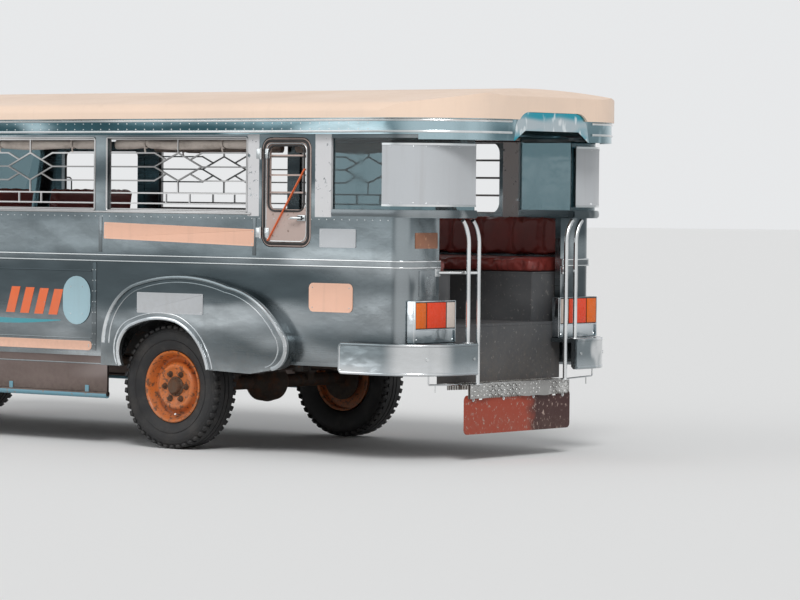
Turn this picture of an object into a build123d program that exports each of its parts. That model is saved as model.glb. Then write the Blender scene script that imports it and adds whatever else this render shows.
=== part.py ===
from build123d import *
import os
from math import atan2, cos, degrees, hypot, radians, sin

os.makedirs("parts", exist_ok=True)

# Passenger jeepney. Millimetres: +X forward, +Y left, +Z up.
# The origin is on the ground, on the centre line, midway along the overall length.

# Layout along the length
WHEELBASE = 3350
TAIL_REACH = 2200  # rear axle back to the roof's rear edge
NOSE_REACH = 800  # front axle forward to the front bumper's face
REAR_AXLE_X = TAIL_REACH - (TAIL_REACH + WHEELBASE + NOSE_REACH) / 2
FRONT_AXLE_X = REAR_AXLE_X + WHEELBASE

# Body shell
BODY_HALF = 950  # outer face of the side walls
WALL = 40  # a wall or door, both skins
BAND_TAIL = TAIL_REACH - 200  # rear axle back to the overhanging window band
BAND_CORNER_R = 300
BODY_TAIL = BAND_TAIL - 180  # rear axle back to the rear wall below the windows
BODY_CORNER_R = 90
CAB_BACK = 1490  # front axle back to the cab door's rear edge
CAB_FRONT = 655  # front axle back to the cab door's front edge
COWL_FRONT = 450  # front axle back to the cowl's front face
BODY_REAR_X = REAR_AXLE_X - BODY_TAIL
BAND_REAR_X = REAR_AXLE_X - BAND_TAIL
CAB_BACK_X = FRONT_AXLE_X - CAB_BACK
CAB_FRONT_X = FRONT_AXLE_X - CAB_FRONT
COWL_X = FRONT_AXLE_X - COWL_FRONT
WALL_INNER = BODY_HALF - WALL

# Heights
SILL_Z = 550  # bottom of the side panels
DOOR_SILL_Z = 600
STEP_Z = 455  # rear step's tread
FLOOR_Z = 800
BELT_Z = 1180
DECK_Z = 1245  # bottom of the emergency door's opening and of the windscreen
BAND_Z = 1430  # underside of the window band's overhang
WINDOW_Z = 1450
QUARTER_Z = 1476  # bottom of the wrap-round windows
WINDOW_TOP_Z = 1897
EAVES_Z = 1915  # top of the walls
FASCIA_TOP_Z = 2010
ROOF_EDGE_Z = 2095  # where the crown starts
CROWN_Z = 2200

# Gaps
DOOR_GAP = 6  # round a door or the hood
PIN_GAP = 0.3  # round a pin or shaft
SKIN_GAP = 1  # between a wall and what stands against it


def side_plane(y):
    """Plane with X along the vehicle and Y up, at the given Y, extruding towards the right."""
    return Plane(origin=(0, y, 0), x_dir=(1, 0, 0), z_dir=(0, -1, 0))


def cross_plane(x):
    """Plane across the vehicle at the given X, with its own X to the left, extruding forward."""
    return Plane(origin=(x, 0, 0), x_dir=(0, 1, 0), z_dir=(1, 0, 0))


def plan_outline(rear_x, front_x, half, corner_r):
    """Plan with round rear corners and a square front."""
    with BuildSketch() as plan:
        with Locations(((rear_x + front_x) / 2, 0)):
            Rectangle(front_x - rear_x, 2 * half)
        fillet(plan.vertices().group_by(Axis.X)[0], corner_r)
    return plan.sketch


def body_plan(inset, front_x):
    """Plan of the body below the windows, drawn in by inset."""
    return plan_outline(
        BODY_REAR_X + inset, front_x, BODY_HALF - inset, BODY_CORNER_R - inset
    )


def band_plan(inset, front_x):
    """Plan of the window band, which overhangs the rear wall, drawn in by inset."""
    return plan_outline(
        BAND_REAR_X + inset, front_x, BODY_HALF - inset, BAND_CORNER_R - inset
    )


# Wheels: sizes along the wheel's own axis are measured from the middle of the tyre
TYRE_R = 380
TYRE_W = 196
RIM_R = 222
RIM_HALF = 76  # half the rim's width
RIM_T = 10
LIP_W = 5  # the rim stands this far out of the tyre's bead
DISC_T = 8
TREAD_SHARE = 0.84  # tread's width as a share of the tyre's
BULGE_SHARE = 0.8  # radius of the tyre's widest part as a share of the tyre's
DISC_OUT = -12  # outer face of the wheel's disc
DISH_R = 104
DISH_DEPTH = 26
DRUM_R = 140
DRUM_IN = -66
HUB_R = 52
HUB_OUT = 62
SPINDLE_R = 25
SPINDLE_TIP = 10
PLATE_OUT = DRUM_IN - 6  # outer face of the backing plate
REAR_WHEEL_Y = BODY_HALF - 125
FRONT_WHEEL_Y = BODY_HALF - 150
KINGPIN_Y = FRONT_WHEEL_Y - 140


def wheel_plane(x, y, side):
    """Plane through a wheel's axle, its X pointing outboard and its Y up."""
    return Plane(origin=(x, side * y, TYRE_R), x_dir=(0, side, 0), z_dir=(side, 0, 0))


def revolved_wheel_part(outline, x, y, side):
    """Solid of revolution about a wheel's axle, from an outline of (along the axle, radius)."""
    with BuildPart() as part:
        with BuildSketch(wheel_plane(x, y, side)):
            with BuildLine():
                Polyline(*outline, close=True)
            make_face()
        revolve(axis=Axis((x, 0, TYRE_R), (0, 1, 0)))
    return part


def make_tyre(x, y, side):
    """Tyre with sloping sidewalls, its beads round the rim."""
    half_profile = [
        (RIM_HALF - LIP_W, RIM_R + PIN_GAP),
        (TYRE_W / 2, BULGE_SHARE * TYRE_R),
        (TREAD_SHARE * TYRE_W / 2, TYRE_R),
    ]
    outline = half_profile + [(-along, radius) for along, radius in reversed(half_profile)]
    return revolved_wheel_part(outline, x, y, side)


def make_wheel(x, y, side):
    """Deep-dish steel wheel in one profile: barrel, disc, brake drum and hub."""
    outline = [
        (RIM_HALF, RIM_R),
        (-RIM_HALF, RIM_R),
        (-RIM_HALF, RIM_R - RIM_T),
        (DISC_OUT - DISC_T, RIM_R - RIM_T),
        (DISC_OUT - DISC_T, DRUM_R),
        (DRUM_IN, DRUM_R),
        (DRUM_IN, SPINDLE_R + PIN_GAP),
        (SPINDLE_TIP + 3, SPINDLE_R + PIN_GAP),
        (SPINDLE_TIP + 3, 0),
        (HUB_OUT, 0),
        (HUB_OUT, HUB_R),
        (DISC_OUT + DISH_DEPTH, HUB_R),
        (DISC_OUT + DISH_DEPTH, DISH_R),
        (DISC_OUT, DISH_R),
        (DISC_OUT, RIM_R - RIM_T),
        (RIM_HALF, RIM_R - RIM_T),
    ]
    return revolved_wheel_part(outline, x, y, side)


# Name, axle station, distance out from the centre line, side
WHEELS = [
    ("rear_left", REAR_AXLE_X, REAR_WHEEL_Y, 1),
    ("rear_right", REAR_AXLE_X, REAR_WHEEL_Y, -1),
    ("front_left", FRONT_AXLE_X, FRONT_WHEEL_Y, 1),
    ("front_right", FRONT_AXLE_X, FRONT_WHEEL_Y, -1),
]
tyres = {name: make_tyre(x, y, side) for name, x, y, side in WHEELS}
wheels = {name: make_wheel(x, y, side) for name, x, y, side in WHEELS}

# Ladder frame
RAIL_OUT = KINGPIN_Y - 260  # outer face of a rail
RAIL_W = 60
RAIL_Z = 540
RAIL_H = 150
RAIL_T = 8
RAIL_REAR_X = BODY_REAR_X + 40
RAIL_FRONT_X = FRONT_AXLE_X + NOSE_REACH - 110
CROSS_Z = 600
SPRING_W = 60
SPRING_Y = RAIL_OUT - SPRING_W / 2
EYE_R = 20
EYE_PIN_R = 9
EYE_Z = 500
LEAF_T = 9
LEAF_COUNT = 3
SPRING_CAMBER = 35
HANGER_GAP = 1
HANGER_T = 8
# Axle station and half length of its main leaves
SPRINGS = [(REAR_AXLE_X, 600), (FRONT_AXLE_X, 500)]
CROSS_W = 70
CROSS_MEMBERS = [
    RAIL_REAR_X + CROSS_W,
    REAR_AXLE_X - 800,
    REAR_AXLE_X + 0.22 * WHEELBASE,
    REAR_AXLE_X + 0.44 * WHEELBASE,
    REAR_AXLE_X + 0.62 * WHEELBASE,
    RAIL_FRONT_X - CROSS_W,
]

with BuildPart() as chassis_frame:
    with BuildSketch(cross_plane(RAIL_REAR_X)):
        with Locations((RAIL_OUT - RAIL_W / 2, RAIL_Z + RAIL_H / 2)):
            Rectangle(RAIL_W, RAIL_H)
        with Locations((RAIL_OUT - RAIL_W / 2 - RAIL_T, RAIL_Z + RAIL_H / 2)):
            Rectangle(RAIL_W, RAIL_H - 2 * RAIL_T, mode=Mode.SUBTRACT)
    extrude(amount=RAIL_FRONT_X - RAIL_REAR_X)
    for station, half in SPRINGS:
        for end in (-half, half):
            for flank in (-1, 1):
                plate_y = SPRING_Y + flank * (SPRING_W / 2 + HANGER_GAP + HANGER_T / 2)
                with BuildSketch(side_plane(plate_y + HANGER_T / 2)):
                    with Locations((station + end, (EYE_Z + RAIL_Z) / 2 - EYE_R / 2)):
                        Rectangle(3 * EYE_R, RAIL_Z - EYE_Z + EYE_R)
                extrude(amount=HANGER_T)
            with BuildSketch(side_plane(SPRING_Y + SPRING_W / 2 + HANGER_GAP + HANGER_T)):
                with Locations((station + end, EYE_Z)):
                    Circle(EYE_PIN_R)
            extrude(amount=SPRING_W + 2 * (HANGER_GAP + HANGER_T))
            with BuildSketch(Plane.XY.offset(RAIL_Z)):
                with Locations((station + end, SPRING_Y)):
                    Rectangle(3 * EYE_R, SPRING_W + 2 * (HANGER_GAP + HANGER_T))
            extrude(amount=RAIL_T)
    mirror(about=Plane.XZ)
    for x in CROSS_MEMBERS:
        with Locations((x, 0, (CROSS_Z + RAIL_Z + RAIL_H) / 2)):
            Box(CROSS_W, 2 * (RAIL_OUT - RAIL_T), RAIL_Z + RAIL_H - CROSS_Z)

with BuildPart() as leaf_springs:
    for station, half in SPRINGS:
        mid_z = EYE_Z - SPRING_CAMBER
        with BuildSketch(side_plane(SPRING_Y + SPRING_W / 2)):
            for leaf in range(LEAF_COUNT):
                reach = half * (1 - 0.28 * leaf)
                rise = SPRING_CAMBER * (reach / half) ** 2
                low = mid_z - (leaf + 0.5) * LEAF_T
                with BuildLine():
                    ThreePointArc(
                        (station - reach, low + rise),
                        (station, low),
                        (station + reach, low + rise),
                    )
                    Line((station + reach, low + rise), (station + reach, low + rise + LEAF_T))
                    ThreePointArc(
                        (station + reach, low + rise + LEAF_T),
                        (station, low + LEAF_T),
                        (station - reach, low + rise + LEAF_T),
                    )
                    Line((station - reach, low + rise + LEAF_T), (station - reach, low + rise))
                make_face()
            with Locations((station - half, EYE_Z), (station + half, EYE_Z)):
                Circle(EYE_R)
            with Locations((station, mid_z - LEAF_COUNT * LEAF_T / 2)):
                Rectangle(150, (LEAF_COUNT + 2) * LEAF_T)
            with Locations((station - half, EYE_Z), (station + half, EYE_Z)):
                Circle(EYE_PIN_R + PIN_GAP, mode=Mode.SUBTRACT)
        extrude(amount=SPRING_W)
    mirror(about=Plane.XZ)

SPRING_SEAT_Z = EYE_Z - SPRING_CAMBER - LEAF_T - LEAF_COUNT * LEAF_T
AXLE_TUBE_R = 42
AXLE_SEAT_L = 110
DIFF_R = 125
DIFF_FACE_R = 115
DIFF_HALF = 70
CONE_END_Y = 170
BACK_PLATE_T = 8
PINION_R = 65
PINION_L = 215
SHAFT_R = 32
GEARBOX_REAR = 740  # front axle back to the gearbox's rear face
GEARBOX_Z = RAIL_Z + 50

with BuildPart() as rear_axle:
    plate_y = REAR_WHEEL_Y + PLATE_OUT
    with BuildSketch(wheel_plane(REAR_AXLE_X, 0, 1)):
        with BuildLine():
            Polyline(
                (0, 0),
                (0, DIFF_R),
                (DIFF_HALF, DIFF_FACE_R),
                (CONE_END_Y, AXLE_TUBE_R),
                (plate_y - BACK_PLATE_T, AXLE_TUBE_R),
                (plate_y - BACK_PLATE_T, DRUM_R),
                (plate_y, DRUM_R),
                (plate_y, SPINDLE_R),
                (REAR_WHEEL_Y + SPINDLE_TIP, SPINDLE_R),
                (REAR_WHEEL_Y + SPINDLE_TIP, 0),
                close=True,
            )
        make_face()
    revolve(axis=Axis((REAR_AXLE_X, 0, TYRE_R), (0, 1, 0)))
    with Locations((REAR_AXLE_X, SPRING_Y, (TYRE_R + SPRING_SEAT_Z) / 2)):
        Box(AXLE_SEAT_L, SPRING_W, SPRING_SEAT_Z - TYRE_R)
    mirror(about=Plane.XZ)
    # Pinion nose and the propeller shaft up to the gearbox
    shaft_start = Vector(REAR_AXLE_X, 0, TYRE_R)
    shaft_run = Vector(FRONT_AXLE_X - GEARBOX_REAR, 0, GEARBOX_Z) - shaft_start
    with BuildSketch(Plane(origin=shaft_start, z_dir=shaft_run)):
        Circle(SHAFT_R)
    extrude(amount=shaft_run.length)
    with BuildSketch(Plane(origin=shaft_start, z_dir=shaft_run)):
        Circle(PINION_R)
    extrude(amount=PINION_L)

# Front axle: beam on the springs, with a bored boss for each kingpin
BOSS_R = 32
BOSS_HALF = 60
KINGPIN_R = 14
BEAM_H = SPRING_SEAT_Z - TYRE_R + 30
BEAM_W = 56
BEAM_WEB_T = 20
BEAM_FLANGE_T = 12
BEAM_END = 90  # solid end beside each boss

with BuildPart() as front_axle:
    with Locations((FRONT_AXLE_X, 0, SPRING_SEAT_Z - BEAM_H / 2)):
        Box(BEAM_W, 2 * KINGPIN_Y, BEAM_H)
        with GridLocations(BEAM_W, 0, 2, 1):
            Box(
                BEAM_W - BEAM_WEB_T,
                2 * (KINGPIN_Y - BEAM_END),
                BEAM_H - 2 * BEAM_FLANGE_T,
                mode=Mode.SUBTRACT,
            )
    with Locations((FRONT_AXLE_X, KINGPIN_Y, TYRE_R), (FRONT_AXLE_X, -KINGPIN_Y, TYRE_R)):
        Cylinder(BOSS_R, 2 * BOSS_HALF)
        Cylinder(KINGPIN_R + PIN_GAP, 2 * BOSS_HALF, mode=Mode.SUBTRACT)

# Steering knuckles: yoke round the boss, kingpin, spindle, backing plate and steering arm
EAR_GAP = 5
EAR_T = 24
YOKE_IN = 40  # kingpin out to the yoke's web
ARM_BACK = 150
ARM_HALF = 28
BALL_R = 8
ROD_R = 12
ROD_EYE_R = 18
ROD_EYE_H = 34
ARM_TOP_Z = TYRE_R - BOSS_HALF - EAR_GAP
ROD_Z = ARM_TOP_Z + 1 + ROD_EYE_H / 2
BALL_X = FRONT_AXLE_X - ARM_BACK
BALL_Y = KINGPIN_Y  # parallel arms keep the rod's length right at every lock


def make_knuckle(side):
    """Steering knuckle of one side."""
    web_out = FRONT_WHEEL_Y + PLATE_OUT - 8 - KINGPIN_Y
    half_height = BOSS_HALF + EAR_GAP + EAR_T
    kingpin = (FRONT_AXLE_X, side * KINGPIN_Y, TYRE_R)
    with BuildPart() as knuckle:
        for level in (BOSS_HALF + EAR_GAP + EAR_T / 2, -BOSS_HALF - EAR_GAP - EAR_T / 2):
            with Locations((FRONT_AXLE_X, side * KINGPIN_Y, TYRE_R + level)):
                Cylinder(BOSS_R, EAR_T)
            with Locations((FRONT_AXLE_X, side * (KINGPIN_Y + web_out / 2), TYRE_R + level)):
                Box(2 * BOSS_R, web_out, EAR_T)
        with Locations(kingpin):
            Cylinder(KINGPIN_R, 2 * half_height)
        with Locations((FRONT_AXLE_X, side * (KINGPIN_Y + (YOKE_IN + web_out) / 2), TYRE_R)):
            Box(2 * BOSS_R, web_out - YOKE_IN, 2 * half_height)
        with BuildSketch(wheel_plane(FRONT_AXLE_X, KINGPIN_Y + web_out, side)):
            with BuildLine():
                Polyline(
                    (0, 0),
                    (0, DRUM_R),
                    (8, DRUM_R),
                    (8, SPINDLE_R),
                    (8 - PLATE_OUT + SPINDLE_TIP, SPINDLE_R),
                    (8 - PLATE_OUT + SPINDLE_TIP, 0),
                    close=True,
                )
            make_face()
        revolve(axis=Axis((FRONT_AXLE_X, 0, TYRE_R), (0, 1, 0)))
        with BuildSketch(Plane.XY.offset(ARM_TOP_Z - EAR_T)):
            with BuildLine():
                Polyline(
                    (FRONT_AXLE_X, side * (KINGPIN_Y - ARM_HALF)),
                    (FRONT_AXLE_X, side * (KINGPIN_Y + ARM_HALF)),
                    (BALL_X, side * (BALL_Y + ROD_EYE_R)),
                    (BALL_X - ROD_EYE_R, side * BALL_Y),
                    (BALL_X, side * (BALL_Y - ROD_EYE_R)),
                    close=True,
                )
            make_face()
        extrude(amount=EAR_T)
        with Locations((BALL_X, side * BALL_Y, ARM_TOP_Z + (ROD_EYE_H - 2) / 2)):
            Cylinder(BALL_R, ROD_EYE_H - 2)
    return knuckle


knuckles = {"left": make_knuckle(1), "right": make_knuckle(-1)}

with BuildPart() as tie_rod:
    with BuildSketch(side_plane(BALL_Y)):
        with Locations((BALL_X, ROD_Z)):
            Circle(ROD_R)
    extrude(amount=2 * BALL_Y)
    with Locations((BALL_X, BALL_Y, ROD_Z), (BALL_X, -BALL_Y, ROD_Z)):
        Cylinder(ROD_EYE_R, ROD_EYE_H)
    with Locations((BALL_X, BALL_Y, ROD_Z), (BALL_X, -BALL_Y, ROD_Z)):
        Cylinder(BALL_R + PIN_GAP, ROD_EYE_H, mode=Mode.SUBTRACT)

# Engine with its gearbox, one plain block each
ENGINE_REAR = 350  # front axle back to the engine's rear face
ENGINE_FRONT = 300
ENGINE_HALF = 230
ENGINE_Z = 500
ENGINE_TOP_Z = 1010
ENGINE_EDGE_R = 40
GEARBOX_R = 120

with BuildPart() as engine_block:
    with BuildSketch(cross_plane(FRONT_AXLE_X - ENGINE_REAR)):
        with Locations((0, (ENGINE_Z + ENGINE_TOP_Z) / 2)):
            RectangleRounded(2 * ENGINE_HALF, ENGINE_TOP_Z - ENGINE_Z, ENGINE_EDGE_R)
    extrude(amount=ENGINE_REAR + ENGINE_FRONT)
    # The gearbox ends just ahead of the propeller shaft
    with BuildSketch(cross_plane(FRONT_AXLE_X - GEARBOX_REAR + DOOR_GAP)):
        with Locations((0, GEARBOX_Z)):
            RegularPolygon(GEARBOX_R, 8)
    extrude(amount=GEARBOX_REAR - DOOR_GAP - ENGINE_REAR)

# Exhaust and fuel tank under the floor
EXHAUST_R = 24
EXHAUST_Y = 190
EXHAUST_Z = 490
EXHAUST_TAIL = 60  # inside the rear wall
MUFFLER_R = 70
MUFFLER_L = 480

with BuildPart() as exhaust:
    with BuildSketch(cross_plane(BODY_REAR_X + EXHAUST_TAIL)):
        with Locations((-EXHAUST_Y, EXHAUST_Z)):
            Circle(EXHAUST_R)
    extrude(amount=FRONT_AXLE_X - ENGINE_REAR - EXHAUST_TAIL - (BODY_REAR_X + EXHAUST_TAIL))
    with BuildSketch(cross_plane(REAR_AXLE_X + 0.34 * WHEELBASE)):
        with Locations((-EXHAUST_Y, EXHAUST_Z)):
            Circle(MUFFLER_R)
    extrude(amount=MUFFLER_L)

TANK_L = 600
TANK_OUT = WALL_INNER - 50
TANK_Z = 420
TANK_EDGE_R = 50

with BuildPart() as fuel_tank:
    with BuildSketch(cross_plane(REAR_AXLE_X + 0.33 * WHEELBASE)):
        with Locations((-(TANK_OUT + RAIL_OUT) / 2, (TANK_Z + RAIL_Z + RAIL_H) / 2)):
            RectangleRounded(TANK_OUT - RAIL_OUT, RAIL_Z + RAIL_H - TANK_Z, TANK_EDGE_R)
    extrude(amount=TANK_L)

# Openings in the walls, from the rear axle or in the bays between
BAY_REAR = 630  # rear axle back to the first window
BAY_FRONT_POST = 125  # post between the last window and the cab door
BAY_POST = 100
BAYS = 2
ESCAPE_FRONT = 745  # rear axle back to the emergency door's front edge
ESCAPE_W = 383
ESCAPE_R = 70
QUARTER_FRONT = 1277  # rear axle back to the wrap-round window
DOOR_POST_Y = BODY_HALF - 463  # window band's end at the rear door
CORNER_END_Y = BODY_HALF - 340  # rear wall's end at the rear door
WHEEL_CUT_R = TYRE_R + 50
bay_w = (CAB_BACK_X - BAY_FRONT_POST - REAR_AXLE_X + BAY_REAR - (BAYS - 1) * BAY_POST) / BAYS
bay_centres = [
    REAR_AXLE_X - BAY_REAR + bay_w / 2 + bay * (bay_w + BAY_POST) for bay in range(BAYS)
]
escape_x = REAR_AXLE_X - ESCAPE_FRONT - ESCAPE_W / 2
quarter_x = REAR_AXLE_X - QUARTER_FRONT
WINDOW_H = WINDOW_TOP_Z - WINDOW_Z
window_mid_z = (WINDOW_Z + WINDOW_TOP_Z) / 2
SHELF_T = 12  # floor of the window band's overhang
MOULD_OUT = 12
MOULD_H = 45
STRIP_H = 22

# Floor: deck, cross bearers on the rails, and boxes over the rear wheels
DECK_T = 16
WHEEL_BOX_HALF = 440
WHEEL_BOX_IN = REAR_WHEEL_Y - 145
WHEEL_BOX_TOP_Z = 880
WHEEL_BOX_T = 8
FLOOR_HALF = WALL_INNER - SKIN_GAP
RISER_T = 10
FIREWALL_X = COWL_X - 60
FIREWALL_T = 20
BEARER_Z = RAIL_Z + RAIL_H
BEARER_W = 60
BEARERS = [
    BODY_REAR_X + 4 * BEARER_W,
    REAR_AXLE_X - WHEEL_BOX_HALF - 2 * BEARER_W,
    REAR_AXLE_X + 0.2 * WHEELBASE,
    REAR_AXLE_X + 0.36 * WHEELBASE,
    REAR_AXLE_X + 0.52 * WHEELBASE,
    REAR_AXLE_X + 0.7 * WHEELBASE,
]

with BuildPart() as floor_pan:
    with BuildSketch(Plane.XY.offset(FLOOR_Z - DECK_T)):
        add(body_plan(WALL + SKIN_GAP, FIREWALL_X))
        with Locations((REAR_AXLE_X, WALL_INNER), (REAR_AXLE_X, -WALL_INNER)):
            Rectangle(
                2 * (WHEEL_BOX_HALF + SKIN_GAP),
                2 * (WALL_INNER - WHEEL_BOX_IN + SKIN_GAP),
                mode=Mode.SUBTRACT,
            )
    extrude(amount=DECK_T)
    with Locations((BODY_REAR_X + (WALL + SKIN_GAP) / 2, 0, FLOOR_Z - DECK_T / 2)):
        Box(WALL + SKIN_GAP, 2 * (CORNER_END_Y - SKIN_GAP), DECK_T)
    bearer_h = FLOOR_Z - DECK_T - SKIN_GAP - BEARER_Z
    for x in BEARERS:
        with Locations((x, 0, BEARER_Z + bearer_h / 2)):
            Box(BEARER_W, 2 * FLOOR_HALF, bearer_h)
    with BuildSketch(Plane.XY.offset(BEARER_Z)):
        add(body_plan(WALL + SKIN_GAP, FIREWALL_X))
        with Locations((BODY_REAR_X + WALL / 2, 0)):
            Rectangle(WALL + 2 * SKIN_GAP, 2 * (CORNER_END_Y - SKIN_GAP))
    extrude(amount=FLOOR_Z - BEARER_Z, mode=Mode.INTERSECT)
    for side in (1, -1):
        box_y = (WHEEL_BOX_IN + FLOOR_HALF) / 2
        box_w = FLOOR_HALF - WHEEL_BOX_IN
        box_h = WHEEL_BOX_TOP_Z - FLOOR_Z + DECK_T
        box_z = (WHEEL_BOX_TOP_Z + FLOOR_Z - DECK_T) / 2
        with Locations((REAR_AXLE_X, side * box_y, box_z)):
            Box(2 * WHEEL_BOX_HALF, box_w, box_h)
        with Locations((REAR_AXLE_X, side * (box_y + WHEEL_BOX_T), box_z - WHEEL_BOX_T)):
            Box(2 * (WHEEL_BOX_HALF - WHEEL_BOX_T), box_w, box_h, mode=Mode.SUBTRACT)
    # Riser down to the rear step
    riser_top_z = FLOOR_Z - DECK_T - SKIN_GAP
    with Locations((BODY_REAR_X + RISER_T / 2, 0, (STEP_Z + SKIN_GAP + riser_top_z) / 2)):
        Box(RISER_T, 2 * (CORNER_END_Y - SKIN_GAP), riser_top_z - STEP_Z - SKIN_GAP)

with BuildPart() as side_panels:
    with BuildSketch(Plane.XY.offset(SILL_Z)):
        add(body_plan(0, COWL_X))
        add(body_plan(WALL, COWL_X + WALL), mode=Mode.SUBTRACT)
        with Locations((BODY_REAR_X, 0)):
            Rectangle(3 * WALL, 2 * CORNER_END_Y, mode=Mode.SUBTRACT)
    extrude(amount=BELT_Z - SILL_Z)
    # Half-round belt moulding, and the bright strip along the bottom
    for low, height in ((BELT_Z - MOULD_H, MOULD_H), (SILL_Z, STRIP_H)):
        with BuildSketch(Plane.XY.offset(low)):
            add(body_plan(-MOULD_OUT, COWL_X))
            add(body_plan(WALL / 2, COWL_X + WALL), mode=Mode.SUBTRACT)
            with Locations((BODY_REAR_X, 0)):
                Rectangle(3 * WALL, 2 * CORNER_END_Y, mode=Mode.SUBTRACT)
        extrude(amount=height)
    with BuildSketch(side_plane(BODY_HALF + 2 * MOULD_OUT)):
        with Locations((REAR_AXLE_X, TYRE_R)):
            Circle(WHEEL_CUT_R)
        with Locations(((CAB_BACK_X + CAB_FRONT_X) / 2, (DOOR_SILL_Z + 2 * BELT_Z) / 2)):
            Rectangle(CAB_FRONT_X - CAB_BACK_X, 2 * BELT_Z - DOOR_SILL_Z)
    extrude(amount=2 * (BODY_HALF + 2 * MOULD_OUT), mode=Mode.SUBTRACT)

with BuildPart() as window_walls:
    with BuildSketch(Plane.XY.offset(BELT_Z)):
        add(body_plan(0, CAB_BACK_X))
        add(body_plan(WALL, CAB_BACK_X + WALL), mode=Mode.SUBTRACT)
        with Locations((BODY_REAR_X, 0)):
            Rectangle(3 * WALL, 2 * CORNER_END_Y, mode=Mode.SUBTRACT)
    extrude(amount=BAND_Z - BELT_Z)
    with BuildSketch(Plane.XY.offset(BAND_Z)):
        add(band_plan(0, CAB_BACK_X))
        add(body_plan(WALL, CAB_BACK_X + WALL), mode=Mode.SUBTRACT)
        with Locations(((BAND_REAR_X + BODY_REAR_X + WALL) / 2, 0)):
            Rectangle(BODY_REAR_X + WALL - BAND_REAR_X + 2, 2 * DOOR_POST_Y, mode=Mode.SUBTRACT)
    extrude(amount=SHELF_T)
    with BuildSketch(Plane.XY.offset(BAND_Z)):
        add(band_plan(0, CAB_BACK_X))
        add(band_plan(WALL, CAB_BACK_X + WALL), mode=Mode.SUBTRACT)
        with Locations((BAND_REAR_X, 0)):
            Rectangle(3 * WALL, 2 * DOOR_POST_Y, mode=Mode.SUBTRACT)
    extrude(amount=EAVES_Z - BAND_Z)
    # Side windows, both sides
    for centre in bay_centres:
        with Locations((centre, 0, window_mid_z)):
            Box(bay_w, 3 * BODY_HALF, WINDOW_H, mode=Mode.SUBTRACT)
    # Emergency door's opening on the left, a small window opposite
    with BuildSketch(side_plane(2 * BODY_HALF)):
        with Locations((escape_x, (DECK_Z + WINDOW_TOP_Z) / 2)):
            RectangleRounded(ESCAPE_W, WINDOW_TOP_Z - DECK_Z, ESCAPE_R)
    extrude(amount=2 * BODY_HALF, mode=Mode.SUBTRACT)
    with BuildSketch(side_plane(0)):
        with Locations((escape_x, window_mid_z)):
            RectangleRounded(ESCAPE_W, WINDOW_H, ESCAPE_R)
    extrude(amount=2 * BODY_HALF, mode=Mode.SUBTRACT)
    # Wrap-round rear windows
    with Locations(((quarter_x + 2 * BAND_REAR_X) / 2, 0, (QUARTER_Z + WINDOW_TOP_Z) / 2)):
        Box(
            quarter_x - 2 * BAND_REAR_X,
            3 * BODY_HALF,
            WINDOW_TOP_Z - QUARTER_Z,
            mode=Mode.SUBTRACT,
        )

# Clear sheets of the wrap-round windows, and the windscreen's two panes
PANE_T = 6
SCREEN_RAKE = 120  # how far the windscreen leans back over its height
SCREEN_T = 40
SCREEN_POST = 60
SCREEN_FRONT_X = COWL_X - 20
screen_h = EAVES_Z - DECK_Z


def screen_plane(inset):
    """Plane of the windscreen: its own X to the left, Y up the rake, extruding rearward."""
    up = Vector(-SCREEN_RAKE, 0, screen_h).normalized()
    out = Vector(0, 1, 0).cross(up)
    return Plane(
        origin=Vector(SCREEN_FRONT_X, 0, DECK_Z) - out * inset,
        x_dir=(0, 1, 0),
        z_dir=out * -1,
    )


screen_len = hypot(screen_h, SCREEN_RAKE)
pane_w = WALL_INNER - 1.5 * SCREEN_POST
pane_mid = SCREEN_POST / 2 + pane_w / 2
pane_h = screen_len - 2 * SCREEN_POST

with BuildPart() as clear_panes:
    with BuildSketch(Plane.XY.offset(QUARTER_Z)):
        add(band_plan((WALL - PANE_T) / 2, quarter_x))
        add(band_plan((WALL + PANE_T) / 2, quarter_x + WALL), mode=Mode.SUBTRACT)
        with Locations((BAND_REAR_X, 0)):
            Rectangle(3 * WALL, 2 * DOOR_POST_Y, mode=Mode.SUBTRACT)
    extrude(amount=WINDOW_TOP_Z - QUARTER_Z)
    with BuildSketch(screen_plane((SCREEN_T - PANE_T) / 2)):
        with Locations((pane_mid, -screen_len / 2), (-pane_mid, -screen_len / 2)):
            RectangleRounded(pane_w, pane_h, 40)
    extrude(amount=PANE_T)

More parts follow.
